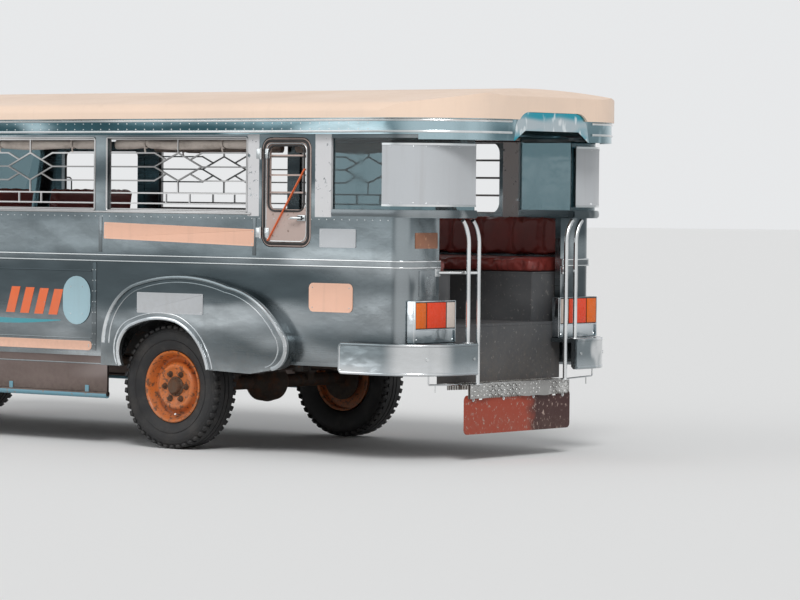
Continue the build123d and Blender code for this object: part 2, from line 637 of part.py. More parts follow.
# Cab front: firewall, cowl deck, windscreen frame and its posts
with BuildPart() as cab_front:
    with Locations((FIREWALL_X + FIREWALL_T / 2, 0, (FLOOR_Z - DECK_T + DECK_Z) / 2)):
        Box(FIREWALL_T, 2 * FLOOR_HALF, DECK_Z - FLOOR_Z + DECK_T)
    with Locations(((CAB_FRONT_X + COWL_X) / 2, 0, DECK_Z - 10)):
        Box(COWL_X - CAB_FRONT_X, 2 * FLOOR_HALF, 20)
    with Locations((COWL_X - 10, 0, (BELT_Z - 140 + DECK_Z) / 2)):
        Box(20, 2 * FLOOR_HALF, DECK_Z - BELT_Z + 140)
    with BuildSketch(screen_plane(0)):
        with Locations((0, -screen_len / 2)):
            Rectangle(2 * FLOOR_HALF, screen_len)
        with Locations((pane_mid, -screen_len / 2), (-pane_mid, -screen_len / 2)):
            RectangleRounded(pane_w, pane_h, 40, mode=Mode.SUBTRACT)
    extrude(amount=SCREEN_T)
    # Side posts, from the belt to the eaves
    for side in (1, -1):
        with BuildSketch(side_plane(BODY_HALF if side > 0 else -WALL_INNER)):
            with BuildLine():
                Polyline(
                    (CAB_FRONT_X, BELT_Z),
                    (COWL_X, BELT_Z),
                    (COWL_X, DECK_Z),
                    (SCREEN_FRONT_X, DECK_Z),
                    (SCREEN_FRONT_X - SCREEN_RAKE, EAVES_Z),
                    (CAB_FRONT_X, EAVES_Z),
                    close=True,
                )
            make_face()
        extrude(amount=WALL)
    # Nothing stands above the eaves
    with Locations((SCREEN_FRONT_X - SCREEN_RAKE, 0, EAVES_Z + 50)):
        Box(400, 3 * BODY_HALF, 100, mode=Mode.SUBTRACT)

# Roof: crowned shell over a bright fascia with a soffit
ROOF_HALF = BODY_HALF + 50
ROOF_REAR_R = 550
ROOF_FRONT_R = 420
ROOF_FRONT = 330  # front axle back to the visor's front edge
ROOF_T = 35
FASCIA_IN = 15
FASCIA_T = ROOF_T - FASCIA_IN
SOFFIT_T = 10
NOTCH_HALF_LOW = 385  # headroom notch over the rear door
NOTCH_HALF_TOP = 345
NOTCH_TOP_Z = 2055
ROOF_REAR_X = REAR_AXLE_X - TAIL_REACH
ROOF_FRONT_X = FRONT_AXLE_X - ROOF_FRONT
ROOF_SHOULDER_R = 60
ROOF_DIP = 55  # how far the crown comes down at its ends
ROOF_DIP_LENGTH = 260
ROOF_DIP_R = 700
ROOF_DIP_OVER = 10  # the dips' arcs run on this far above the crown
BOW_W = 40
BOW_H = 25
BOW_COUNT = 6
BOW_END = 300  # the first and last bow stand this far inside the window band and the visor

TAIL_DROP = 30  # the fascia hangs this much lower round the tail
HEADROOM_HALF = 268  # the opening under the valance
HEADROOM_Z = 1945
VALANCE_T = 8
VALANCE_LEG = 14  # width of the valance's legs at their feet
NOTCH_OVER = 20  # the notch's outline runs on this far below the fascia


def notch_outline(gap):
    """Headroom notch across the vehicle, less a gap, with large round shoulders."""
    with BuildSketch() as notch:
        with BuildLine():
            Polyline(
                (-NOTCH_HALF_LOW + gap, EAVES_Z - TAIL_DROP - NOTCH_OVER),
                (NOTCH_HALF_LOW - gap, EAVES_Z - TAIL_DROP - NOTCH_OVER),
                (NOTCH_HALF_TOP - gap, NOTCH_TOP_Z - gap),
                (-NOTCH_HALF_TOP + gap, NOTCH_TOP_Z - gap),
                close=True,
            )
        make_face()
        fillet(notch.vertices().group_by(Axis.Y)[-1], 120)
    return notch.sketch


def roof_plan(inset):
    """Plan of the roof, drawn in by inset."""
    rear_x = ROOF_REAR_X + inset
    front_x = ROOF_FRONT_X - inset
    with BuildSketch() as plan:
        with Locations(((rear_x + front_x) / 2, 0)):
            Rectangle(front_x - rear_x, 2 * (ROOF_HALF - inset))
        fillet(plan.vertices().group_by(Axis.X)[0], ROOF_REAR_R - inset)
        fillet(plan.vertices().group_by(Axis.X)[-1], ROOF_FRONT_R - inset)
    return plan.sketch


def crowned_solid(inset, low_z):
    """Roof volume drawn in by inset: the plan under an arched top that dips at both ends."""
    half = ROOF_HALF - inset
    rear_x = ROOF_REAR_X + inset
    front_x = ROOF_FRONT_X - inset
    top_z = CROWN_Z - inset
    with BuildPart() as volume:
        with BuildSketch(Plane.XY.offset(low_z)):
            add(roof_plan(inset))
        extrude(amount=top_z - low_z)
        with BuildSketch(cross_plane(ROOF_REAR_X)) as section:
            with BuildLine():
                Line((-half, low_z), (half, low_z))
                Line((half, low_z), (half, ROOF_EDGE_Z - inset))
                ThreePointArc(
                    (half, ROOF_EDGE_Z - inset), (0, top_z), (-half, ROOF_EDGE_Z - inset)
                )
                Line((-half, ROOF_EDGE_Z - inset), (-half, low_z))
            make_face()
            fillet(section.vertices().group_by(Axis.Y)[-1], ROOF_SHOULDER_R - inset)
        extrude(amount=ROOF_FRONT_X - ROOF_REAR_X, mode=Mode.INTERSECT)
        with BuildSketch(side_plane(ROOF_HALF)):
            with BuildLine():
                over_z = top_z + ROOF_DIP_OVER
                Line((front_x, low_z), (rear_x, low_z))
                Line((rear_x, low_z), (rear_x, top_z - ROOF_DIP))
                RadiusArc((rear_x, top_z - ROOF_DIP), (rear_x + ROOF_DIP_LENGTH, over_z), ROOF_DIP_R)
                Line((rear_x + ROOF_DIP_LENGTH, over_z), (front_x - ROOF_DIP_LENGTH, over_z))
                RadiusArc((front_x - ROOF_DIP_LENGTH, over_z), (front_x, top_z - ROOF_DIP), ROOF_DIP_R)
                Line((front_x, top_z - ROOF_DIP), (front_x, low_z))
            make_face()
        extrude(amount=2 * ROOF_HALF, mode=Mode.INTERSECT)
    return volume.part


first_bow_x = BAND_REAR_X + BOW_END
bow_pitch = (ROOF_FRONT_X - BAND_REAR_X - 2 * BOW_END) / (BOW_COUNT - 1)
roof_volume = crowned_solid(0, FASCIA_TOP_Z)
roof_hollow = crowned_solid(ROOF_T, FASCIA_TOP_Z - 50)

with BuildPart() as roof_shell:
    add(roof_volume)
    add(roof_hollow, mode=Mode.SUBTRACT)
    # Headroom notch in the rear edge
    with BuildSketch(cross_plane(ROOF_REAR_X - 10)):
        add(notch_outline(0))
    extrude(amount=ROOF_T + 60, mode=Mode.SUBTRACT)
    for bow in range(BOW_COUNT):
        with Locations((first_bow_x + bow * bow_pitch, 0, FASCIA_TOP_Z + BOW_H / 2)):
            Box(BOW_W, 2 * (ROOF_HALF - ROOF_T - SKIN_GAP), BOW_H)

with BuildPart() as roof_fascia:
    with BuildSketch(Plane.XY.offset(EAVES_Z)):
        add(roof_plan(FASCIA_IN))
        add(roof_plan(FASCIA_IN + FASCIA_T), mode=Mode.SUBTRACT)
    extrude(amount=FASCIA_TOP_Z - EAVES_Z)
    with BuildSketch(Plane.XY.offset(EAVES_Z)):
        add(roof_plan(FASCIA_IN + 1))
        add(band_plan(WALL + 20, CAB_FRONT_X), mode=Mode.SUBTRACT)
    extrude(amount=SOFFIT_T)
    # The fascia hangs lower round the tail
    with BuildSketch(Plane.XY.offset(EAVES_Z - TAIL_DROP)):
        add(roof_plan(FASCIA_IN))
        add(roof_plan(FASCIA_IN + FASCIA_T), mode=Mode.SUBTRACT)
        with Locations(((BAND_REAR_X + 100 + ROOF_FRONT_X) / 2, 0)):
            Rectangle(ROOF_FRONT_X - BAND_REAR_X - 100, 3 * ROOF_HALF, mode=Mode.SUBTRACT)
    extrude(amount=TAIL_DROP)
    with BuildSketch(cross_plane(ROOF_REAR_X - 10)):
        add(notch_outline(0))
    extrude(amount=BAND_REAR_X + WALL - ROOF_REAR_X, mode=Mode.SUBTRACT)

# Polished arch that lines the notch, its opening narrower at the top
with BuildPart() as rear_valance:
    with BuildSketch(cross_plane(ROOF_REAR_X + FASCIA_IN)):
        add(notch_outline(1))
        with BuildLine():
            Polyline(
                (-NOTCH_HALF_LOW, EAVES_Z - TAIL_DROP - NOTCH_OVER),
                (NOTCH_HALF_LOW, EAVES_Z - TAIL_DROP - NOTCH_OVER),
                (NOTCH_HALF_LOW, EAVES_Z - TAIL_DROP),
                (NOTCH_HALF_LOW - VALANCE_LEG, EAVES_Z - TAIL_DROP),
                (HEADROOM_HALF, HEADROOM_Z),
                (-HEADROOM_HALF, HEADROOM_Z),
                (-NOTCH_HALF_LOW + VALANCE_LEG, EAVES_Z - TAIL_DROP),
                (-NOTCH_HALF_LOW, EAVES_Z - TAIL_DROP),
                close=True,
            )
        make_face(mode=Mode.SUBTRACT)
    extrude(amount=VALANCE_T)

# Window grilles: a frame, cross rods bent round a diamond, and short uprights
ROD_HALF = 4.5
FRAME_HALF = 7
DIAMOND_HALF = 190
# Height of each cross rod, as a share of the window's height
CROSS_RODS = [0.80, 0.60, 0.41, 0.235, 0.09]
GRILLE_Y = BODY_HALF - WALL / 2
LATTICE_GAP = 1


def grille_lines(width, height):
    """Centre lines of a grille about the window's middle: the diamond, the rods and uprights."""
    level = [height * (share - 0.5) for share in CROSS_RODS]
    top, upper, lower, base, foot = level
    half = width / 2
    knee = 0.5 * DIAMOND_HALF
    side_z = (top + lower) / 2
    lines = [
        ((0, height / 2), (0, top)),
        ((0, lower), (0, base)),
        ((-knee, base), (-knee, foot)),
        ((knee, base), (knee, foot)),
        ((-half, base), (half, base)),
        ((-half, foot), (half, foot)),
    ]
    for hand in (-1, 1):
        lines += [
            ((0, top), (hand * DIAMOND_HALF, side_z)),
            ((hand * DIAMOND_HALF, side_z), (0, lower)),
            ((hand * half, side_z), (hand * DIAMOND_HALF, side_z)),
            ((hand * half, top), (hand * DIAMOND_HALF, top)),
            ((hand * DIAMOND_HALF, top), (hand * knee, (top + side_z) / 2)),
            ((hand * half, lower), (hand * DIAMOND_HALF, lower)),
            ((hand * DIAMOND_HALF, lower), (hand * knee, (lower + side_z) / 2)),
        ]
    return lines


with BuildPart() as window_grilles:
    for centre in bay_centres:
        with BuildSketch(side_plane(GRILLE_Y + ROD_HALF)):
            with Locations((centre, window_mid_z)):
                Rectangle(bay_w - 2 * LATTICE_GAP, WINDOW_H - 2 * LATTICE_GAP)
                Rectangle(
                    bay_w - 4 * FRAME_HALF, WINDOW_H - 4 * FRAME_HALF, mode=Mode.SUBTRACT
                )
            for start, end in grille_lines(bay_w - 2 * FRAME_HALF, WINDOW_H - 2 * FRAME_HALF):
                run = Vector(*end) - Vector(*start)
                middle = (Vector(*start) + Vector(*end)) * 0.5
                turn = degrees(atan2(run.Y, run.X))
                with Locations(Location((centre + middle.X, window_mid_z + middle.Y, 0), (0, 0, turn))):
                    Rectangle(run.length + 2 * ROD_HALF, 2 * ROD_HALF)
        extrude(amount=2 * ROD_HALF)
    mirror(about=Plane.XZ)

# Doors: each opening less its gap, with the window cut out
DOOR_FRAME = 60
DOOR_WINDOW_Z = 1290
DOOR_TOP_Z = EAVES_Z - 10
door_x = (CAB_BACK_X + CAB_FRONT_X) / 2
door_w = CAB_FRONT_X - CAB_BACK_X - 2 * DOOR_GAP


def make_front_door(side):
    """Cab door of one side, hinged at its front edge."""
    window_low = DOOR_WINDOW_Z
    window_high = DOOR_TOP_Z - DOOR_FRAME
    with BuildPart() as door:
        with BuildSketch(side_plane(BODY_HALF)):
            with Locations((door_x, (DOOR_SILL_Z + DOOR_GAP + DOOR_TOP_Z) / 2)):
                RectangleRounded(door_w, DOOR_TOP_Z - DOOR_SILL_Z - DOOR_GAP, 12)
            with Locations((door_x, (window_low + window_high) / 2)):
                RectangleRounded(
                    door_w - 2 * DOOR_FRAME, window_high - window_low, 45, mode=Mode.SUBTRACT
                )
        extrude(amount=WALL)
        # Belt moulding, carried on from the side panel
        with Locations((door_x, BODY_HALF + MOULD_OUT / 2, BELT_Z - MOULD_H / 2)):
            Box(door_w - 60, MOULD_OUT, MOULD_H)
        # Pull handle
        with Locations((door_x - door_w / 2 + 90, BODY_HALF + 14, BELT_Z - 90)):
            Box(120, 28, 22)
        with Locations((door_x - door_w / 2 + 90, BODY_HALF + 6, BELT_Z - 90)):
            Box(84, 16, 40, mode=Mode.SUBTRACT)
        if side < 0:
            mirror(about=Plane.XZ, mode=Mode.REPLACE)
    return door


front_doors = {"left": make_front_door(1), "right": make_front_door(-1)}

ESCAPE_FRAME = 42
BAR_HALF = 5
escape_h = WINDOW_TOP_Z - DECK_Z
escape_z = (WINDOW_TOP_Z + DECK_Z) / 2

with BuildPart() as emergency_door:
    with BuildSketch(side_plane(BODY_HALF)):
        with Locations((escape_x, escape_z)):
            RectangleRounded(
                ESCAPE_W - 2 * DOOR_GAP, escape_h - 2 * DOOR_GAP, ESCAPE_R - DOOR_GAP
            )
        with Locations((escape_x, (WINDOW_Z + 20 + WINDOW_TOP_Z - ESCAPE_FRAME) / 2)):
            RectangleRounded(
                ESCAPE_W - 2 * ESCAPE_FRAME,
                WINDOW_TOP_Z - ESCAPE_FRAME - WINDOW_Z - 20,
                ESCAPE_R / 2,
                mode=Mode.SUBTRACT,
            )
    extrude(amount=WALL)
    for share in (0.27, 0.5, 0.76):
        with Locations((escape_x, GRILLE_Y, WINDOW_Z + share * WINDOW_H)):
            Box(ESCAPE_W - 2 * ESCAPE_FRAME + 10, 2 * BAR_HALF, 2 * BAR_HALF)
    with Locations((escape_x - 110, BODY_HALF + 6, WINDOW_Z - 30)):
        Box(50, 12, 26)

# Benches: boxed bases, padded seats and backs, and the low partition behind the cab
BENCH_IN = WALL_INNER - 500
BENCH_TOP_Z = 1100
BENCH_T = 10
BENCH_REAR_X = BODY_REAR_X + WALL + 30
BENCH_FRONT_X = CAB_BACK_X - 60
PAD_T = 85
PAD_GAP = 2
BACK_T = 65
BACK_TOP_Z = WINDOW_Z - 8
PARTITION_T = 20
PARTITION_Z = 1440
SEAT_X = 280  # cab door's rear edge forward to the middle of the cab seats
SEAT_L = 420
SEAT_H = 195
SEAT_PAD_T = 95
SEAT_BACK_H = 500
SEAT_BACK_T = 85
SEAT_BACK_RAKE = 75
PARTITION_IN = 160
# Side, distance in from the floor's edge, width of the driver's and the passengers' seats
CAB_SEATS = [(1, 199, 560), (-1, 99, 760)]
cab_seat_spots = [
    (side * (FLOOR_HALF - inset - width / 2), width) for side, inset, width in CAB_SEATS
]

with BuildPart() as seat_bases:
    bench_x = (BENCH_REAR_X + BENCH_FRONT_X - PARTITION_T) / 2
    bench_l = BENCH_FRONT_X - BENCH_REAR_X - PARTITION_T - 2 * SKIN_GAP
    front_h = BENCH_TOP_Z - BENCH_T - SKIN_GAP - FLOOR_Z
    with Locations((bench_x, BENCH_IN + BENCH_T / 2, FLOOR_Z + front_h / 2)):
        Box(bench_l, BENCH_T, front_h)
    with Locations((bench_x, (BENCH_IN + FLOOR_HALF) / 2, BENCH_TOP_Z - BENCH_T / 2)):
        Box(bench_l, FLOOR_HALF - BENCH_IN, BENCH_T)
    # Closing panel at the doorway and partition behind the cab
    panel_in = BENCH_IN + BENCH_T + SKIN_GAP
    with Locations(
        (BENCH_REAR_X + SKIN_GAP + BENCH_T / 2, (panel_in + FLOOR_HALF) / 2, FLOOR_Z + front_h / 2)
    ):
        Box(BENCH_T, FLOOR_HALF - panel_in, front_h)
    partition_mid_y = (PARTITION_IN + FLOOR_HALF) / 2
    with Locations((BENCH_FRONT_X - PARTITION_T / 2, partition_mid_y, (FLOOR_Z + PARTITION_Z) / 2)):
        Box(PARTITION_T, FLOOR_HALF - PARTITION_IN, PARTITION_Z - FLOOR_Z)
    mirror(about=Plane.XZ)
    # Boxes under the cab seats
    for y, w in cab_seat_spots:
        with Locations((CAB_BACK_X + SEAT_X, y, FLOOR_Z + SEAT_H / 2)):
            Box(SEAT_L, w, SEAT_H)
        with Locations((CAB_BACK_X + SEAT_X, y, FLOOR_Z + SEAT_H / 2 - BENCH_T)):
            Box(SEAT_L - 2 * BENCH_T, w - 2 * BENCH_T, SEAT_H, mode=Mode.SUBTRACT)
    # The rear ends follow the body's corners
    with BuildSketch(Plane.XY.offset(FLOOR_Z)):
        add(body_plan(WALL + 2, COWL_X))
    extrude(amount=EAVES_Z - FLOOR_Z, mode=Mode.INTERSECT)

with BuildPart() as bench_cushions:
    with BuildSketch(cross_plane(BENCH_REAR_X + BENCH_T)):
        with Locations(((BENCH_IN + FLOOR_HALF) / 2, BENCH_TOP_Z + PAD_T / 2)):
            RectangleRounded(FLOOR_HALF - BENCH_IN - 2 * PAD_GAP, PAD_T, 28)
    extrude(amount=BENCH_FRONT_X - BENCH_REAR_X - PARTITION_T - BENCH_T - PAD_GAP)
    mirror(about=Plane.XZ)
    with BuildSketch(Plane.XY.offset(FLOOR_Z)):
        add(body_plan(WALL + 2, COWL_X))
    extrude(amount=EAVES_Z - FLOOR_Z, mode=Mode.INTERSECT)

with BuildPart() as bench_backs:
    back_low = BENCH_TOP_Z + PAD_T + PAD_GAP
    with BuildSketch(cross_plane(BENCH_REAR_X + BENCH_T)):
        with Locations((FLOOR_HALF - BACK_T / 2, (back_low + BACK_TOP_Z) / 2)):
            RectangleRounded(BACK_T - PAD_GAP, BACK_TOP_Z - back_low, 24)
    extrude(amount=BENCH_FRONT_X - BENCH_REAR_X - PARTITION_T - BENCH_T - PAD_GAP)
    mirror(about=Plane.XZ)
    with BuildSketch(Plane.XY.offset(FLOOR_Z)):
        add(body_plan(WALL + 2, COWL_X))
    extrude(amount=EAVES_Z - FLOOR_Z, mode=Mode.INTERSECT)

with BuildPart() as cab_seat_pads:
    seat_top_z = FLOOR_Z + SEAT_H + SEAT_PAD_T
    for y, w in cab_seat_spots:
        with Locations((CAB_BACK_X + SEAT_X, y, seat_top_z - SEAT_PAD_T / 2)):
            Box(SEAT_L, w, SEAT_PAD_T)
    fillet(cab_seat_pads.edges().group_by(Axis.Z)[-1], SEAT_PAD_T / 4)
    seat_back_x = CAB_BACK_X + SEAT_X - SEAT_L / 2
    for y, w in cab_seat_spots:
        with BuildSketch(side_plane(y + w / 2)):
            with BuildLine():
                Polyline(
                    (seat_back_x, seat_top_z + PAD_GAP),
                    (seat_back_x + SEAT_BACK_T, seat_top_z + PAD_GAP),
                    (seat_back_x + SEAT_BACK_T - SEAT_BACK_RAKE, seat_top_z + SEAT_BACK_H),
                    (seat_back_x - SEAT_BACK_RAKE, seat_top_z + SEAT_BACK_H),
                    close=True,
                )
            make_face()
        extrude(amount=w)

# Canvas curtains, rolled up and tied along the tops of the side windows
ROLL_R = 34
ROLL_Y = WALL_INNER - ROLL_R - 6

with BuildPart() as rolled_curtains:
    for centre in bay_centres:
        with BuildSketch(cross_plane(centre - bay_w / 2 + 8)):
            with Locations((ROLL_Y, WINDOW_TOP_Z - ROLL_R - 4)):
                Circle(ROLL_R)
        extrude(amount=bay_w - 16)
    mirror(about=Plane.XZ)

# Dashboard with the steering column
DASH_Z = 1030
DASH_DEPTH = 190
STEER_Y = cab_seat_spots[0][0]
STEER_WHEEL_R = 205
STEER_RIM_R = 13
STEER_ANGLE = 38  # column above the level
COLUMN_R = 22
steer_centre = Vector(CAB_FRONT_X - 205, STEER_Y, DECK_Z + 30)
steer_axis = Vector(-cos(radians(STEER_ANGLE)), 0, sin(radians(STEER_ANGLE)))

with BuildPart() as dashboard:
    with BuildSketch(cross_plane(FIREWALL_X - DASH_DEPTH)):
        with Locations((0, (DASH_Z + DECK_Z - 22) / 2)):
            RectangleRounded(2 * FLOOR_HALF - 4, DECK_Z - 22 - DASH_Z, 40)
    extrude(amount=DASH_DEPTH)
    column_len = 360
    with BuildSketch(Plane(origin=steer_centre - steer_axis * 45, z_dir=steer_axis * -1)):
        Circle(COLUMN_R)
    extrude(amount=column_len)

with BuildPart() as steering_wheel:
    wheel_face = Plane(origin=steer_centre, x_dir=(0, 1, 0), z_dir=steer_axis)
    steer_axis = (sin(radians(STEER_ANGLE)), 0, cos(radians(STEER_ANGLE)))
    with BuildSketch(Plane(origin=steer_centre, x_dir=(0, 1, 0), z_dir=steer_axis)):
        with Locations((STEER_WHEEL_R, 0)):
            RegularPolygon(STEER_RIM_R, 6)
    revolve(axis=Axis(steer_centre, steer_axis))
    with BuildSketch(wheel_face.offset(-30)):
        Circle(42)
    extrude(amount=40)
    for spoke in (0, 120, 240):
        with BuildSketch(wheel_face.offset(-9)):
            with Locations(Location((0, 0, 0), (0, 0, 90 + spoke))):
                with Locations((STEER_WHEEL_R / 2, 0)):
                    Rectangle(STEER_WHEEL_R, 30)
        extrude(amount=10)

# Hood and nose
HOOD_REAR_HALF = 500
HOOD_FRONT_HALF = 420
HOOD_TOP_Z = 1225
HOOD_DROP = 45  # lower at the nose
FENDER_TOP_Z = 985
HOOD_SIDE_Z = FENDER_TOP_Z + DOOR_GAP + 2  # bottom of the hood's sides
HOOD_T = 14
NOSE_BACK = 560  # front axle forward to the hood's front edge
NOSE_T = 90
NOSE_Z = RAIL_Z + RAIL_H + 2
HOOD_REAR_X = COWL_X + DOOR_GAP
HOOD_FRONT_X = FRONT_AXLE_X + NOSE_BACK
HOOD_CROWN = 40
HOOD_LEAN = 45  # the sides' front edges lean back this much, to swing clear of the nose
lean_top_z = HOOD_TOP_Z - HOOD_DROP


def hood_section(half, top_z, inset):
    """Hood section across the vehicle: two sides under a shallow crown."""
    with BuildSketch() as section:
        with BuildLine():
            Line((-half + inset, HOOD_SIDE_Z - 2 * inset), (half - inset, HOOD_SIDE_Z - 2 * inset))
            Line((half - inset, HOOD_SIDE_Z - 2 * inset), (half - inset, top_z - inset))
            ThreePointArc(
                (half - inset, top_z - inset),
                (0, top_z + HOOD_CROWN - inset),
                (-half + inset, top_z - inset),
            )
            Line((-half + inset, top_z - inset), (-half + inset, HOOD_SIDE_Z - 2 * inset))
        make_face()
        fillet(section.vertices().group_by(Axis.Y)[-1], 50 - inset)
    return section.sketch


with BuildPart() as hood:
    with BuildSketch(cross_plane(HOOD_REAR_X)):
        add(hood_section(HOOD_REAR_HALF, HOOD_TOP_Z, 0))
    with BuildSketch(cross_plane(HOOD_FRONT_X)):
        add(hood_section(HOOD_FRONT_HALF, HOOD_TOP_Z - HOOD_DROP, 0))
    loft(ruled=True)
    with BuildSketch(cross_plane(HOOD_REAR_X - 1)):
        add(hood_section(HOOD_REAR_HALF, HOOD_TOP_Z, HOOD_T))
    with BuildSketch(cross_plane(HOOD_FRONT_X + 1)):
        add(hood_section(HOOD_FRONT_HALF, HOOD_TOP_Z - HOOD_DROP, HOOD_T))
    loft(ruled=True, mode=Mode.SUBTRACT)
    with BuildSketch(side_plane(HOOD_REAR_HALF)):
        with BuildLine():
            Polyline(
                (HOOD_FRONT_X, lean_top_z),
                (HOOD_FRONT_X - HOOD_LEAN, HOOD_SIDE_Z),
                (HOOD_FRONT_X - HOOD_LEAN, HOOD_SIDE_Z - DOOR_GAP),
                (HOOD_FRONT_X + DOOR_GAP, HOOD_SIDE_Z - DOOR_GAP),
                (HOOD_FRONT_X + DOOR_GAP, lean_top_z),
                close=True,
            )
        make_face()
    extrude(amount=2 * HOOD_REAR_HALF, mode=Mode.SUBTRACT)

SLOT_COUNT = 9
SLOT_GAP = 22
SLOT_DEPTH = 60
SLOT_END = 65  # above and below each slot
GRILLE_HALF = 260
NOSE_EDGE_R = 50
LAMP_Y = 335
LAMP_Z = 1010
LAMP_R = 88
LAMP_T = 26
nose_x = HOOD_FRONT_X + DOOR_GAP
nose_mid_z = (NOSE_Z + lean_top_z) / 2

with BuildPart() as nose_grille:
    with BuildSketch(cross_plane(HOOD_FRONT_X - HOOD_LEAN)):
        with Locations((0, nose_mid_z)):
            RectangleRounded(2 * HOOD_FRONT_HALF, lean_top_z - NOSE_Z, NOSE_EDGE_R)
    extrude(amount=HOOD_LEAN + DOOR_GAP + NOSE_T)
    # The cheeks follow the hood's leaning front edges
    with BuildSketch(side_plane(HOOD_FRONT_HALF)):
        with BuildLine():
            Polyline(
                (nose_x, NOSE_Z),
                (nose_x, HOOD_SIDE_Z),
                (HOOD_FRONT_X - HOOD_LEAN + 2 * DOOR_GAP, HOOD_SIDE_Z),
                (nose_x, lean_top_z - (lean_top_z - HOOD_SIDE_Z) * DOOR_GAP / HOOD_LEAN),
                (nose_x, lean_top_z),
                (HOOD_FRONT_X - HOOD_LEAN, lean_top_z),
                (HOOD_FRONT_X - HOOD_LEAN, NOSE_Z),
                close=True,
            )
        make_face()
    extrude(amount=2 * HOOD_FRONT_HALF, mode=Mode.SUBTRACT)
    slot_pitch = 2 * GRILLE_HALF / SLOT_COUNT
    with BuildSketch(cross_plane(nose_x + NOSE_T - SLOT_DEPTH)):
        with Locations((0, nose_mid_z)):
            with GridLocations(slot_pitch, 0, SLOT_COUNT, 1):
                Rectangle(slot_pitch - SLOT_GAP, lean_top_z - NOSE_Z - 2 * SLOT_END)
    extrude(amount=SLOT_DEPTH, mode=Mode.SUBTRACT)

with BuildPart() as headlamps:
    with BuildSketch(cross_plane(nose_x + NOSE_T)):
        with Locations((LAMP_Y, LAMP_Z), (-LAMP_Y, LAMP_Z)):
            Circle(LAMP_R)
    extrude(amount=LAMP_T, taper=12)

# Front fenders: arched shells over the wheels, open below and towards the wheel
FENDER_OUT = BODY_HALF + 50
FENDER_IN = RAIL_OUT + 12
FENDER_T = 16
FENDER_REAR = 560
FENDER_FRONT = 555
FENDER_LOW_Z = 520
FENDER_ARCH_R = 455


def fender_outline(inset):
    """Side outline of a front fender, drawn in by inset."""
    rear_x = FRONT_AXLE_X - FENDER_REAR + inset
    front_x = FRONT_AXLE_X + FENDER_FRONT - inset
    top_z = FENDER_TOP_Z - inset
    with BuildSketch() as outline:
        with BuildLine():
            Polyline(
                (rear_x, FENDER_LOW_Z - inset),
                (rear_x, FENDER_LOW_Z + 200),
                (rear_x + 190, top_z),
                (FRONT_AXLE_X + 250, top_z),
                (front_x, top_z - 170),
                (front_x, FENDER_LOW_Z - inset),
                close=True,
            )
        make_face()
        fillet(outline.vertices().filter_by(lambda v: v.Y > FENDER_LOW_Z), 100 - inset)
    return outline.sketch


with BuildPart() as front_fenders:
    with BuildSketch(side_plane(FENDER_OUT)):
        add(fender_outline(0))
    extrude(amount=FENDER_OUT - FENDER_IN)
    with BuildSketch(side_plane(FENDER_OUT - FENDER_T)):
        add(fender_outline(FENDER_T))
    extrude(amount=FENDER_OUT - FENDER_IN - 2 * FENDER_T, mode=Mode.SUBTRACT)
    with BuildSketch(side_plane(FENDER_OUT + 5)):
        with Locations((FRONT_AXLE_X, TYRE_R)):
            Circle(FENDER_ARCH_R)
    extrude(amount=FENDER_OUT - FENDER_IN + 10, mode=Mode.SUBTRACT)
    # Clear of the cowl's side and the door in front of it
    cowl_side_y = BODY_HALF + MOULD_OUT + SKIN_GAP
    with Locations((COWL_X - FENDER_REAR / 2, cowl_side_y / 2, FENDER_TOP_Z / 2)):
        Box(FENDER_REAR, cowl_side_y, FENDER_TOP_Z, mode=Mode.SUBTRACT)
    mirror(about=Plane.XZ)

# Rear fenders: teardrop flares on the side panels
FLARE_OUT = BODY_HALF + 70
FLARE_T = 24
# Columns: start, a point passed through, end, each (forward of the rear axle, height)
FLARE_ARCS = [
    ((478, 640), (402, 868), (230, 1003)),
    ((230, 1003), (-150, 1066), (-560, 1008)),
    ((-560, 1008), (-850, 885), (-985, 740)),
    ((-985, 740), (-1010, 590), (-917, 522)),
]
FLARE_FOOT = [(-917, 522), (-724, 489), (-377, 500)]
ARCH_ARCS = [
    ((-377, 500), (-292, 668), (-126, 776)),
    ((-126, 776), (40, 787), (199, 751)),
    ((199, 751), (315, 650), (306, 500)),
]


def at_rear_axle(point):
    """Point given forward of the rear axle, in the vehicle's own frame."""
    return (REAR_AXLE_X + point[0], point[1])


with BuildPart() as rear_fenders:
    with BuildSketch(side_plane(FLARE_OUT)):
        with BuildLine():
            Line(at_rear_axle((478, 500)), at_rear_axle(FLARE_ARCS[0][0]))
            for arc in FLARE_ARCS:
                ThreePointArc(*[at_rear_axle(point) for point in arc])
            Polyline(*[at_rear_axle(point) for point in FLARE_FOOT])
            for arc in ARCH_ARCS:
                ThreePointArc(*[at_rear_axle(point) for point in arc])
            Line(at_rear_axle(ARCH_ARCS[-1][2]), at_rear_axle((478, 500)))
        make_face()
    extrude(amount=FLARE_OUT - BODY_HALF)
    # Room for the tyre behind the skin, and for the bottom strip of the body
    with BuildSketch(side_plane(FLARE_OUT - FLARE_T)):
        with Locations((REAR_AXLE_X, TYRE_R)):
            Circle(WHEEL_CUT_R)
    extrude(amount=FLARE_OUT, mode=Mode.SUBTRACT)
    strip_out = MOULD_OUT + SKIN_GAP
    with Locations((REAR_AXLE_X, BODY_HALF + strip_out / 2, SILL_Z + STRIP_H / 2)):
        Box(2 * BODY_TAIL, strip_out, STRIP_H + 2 * SKIN_GAP, mode=Mode.SUBTRACT)
    mirror(about=Plane.XZ)

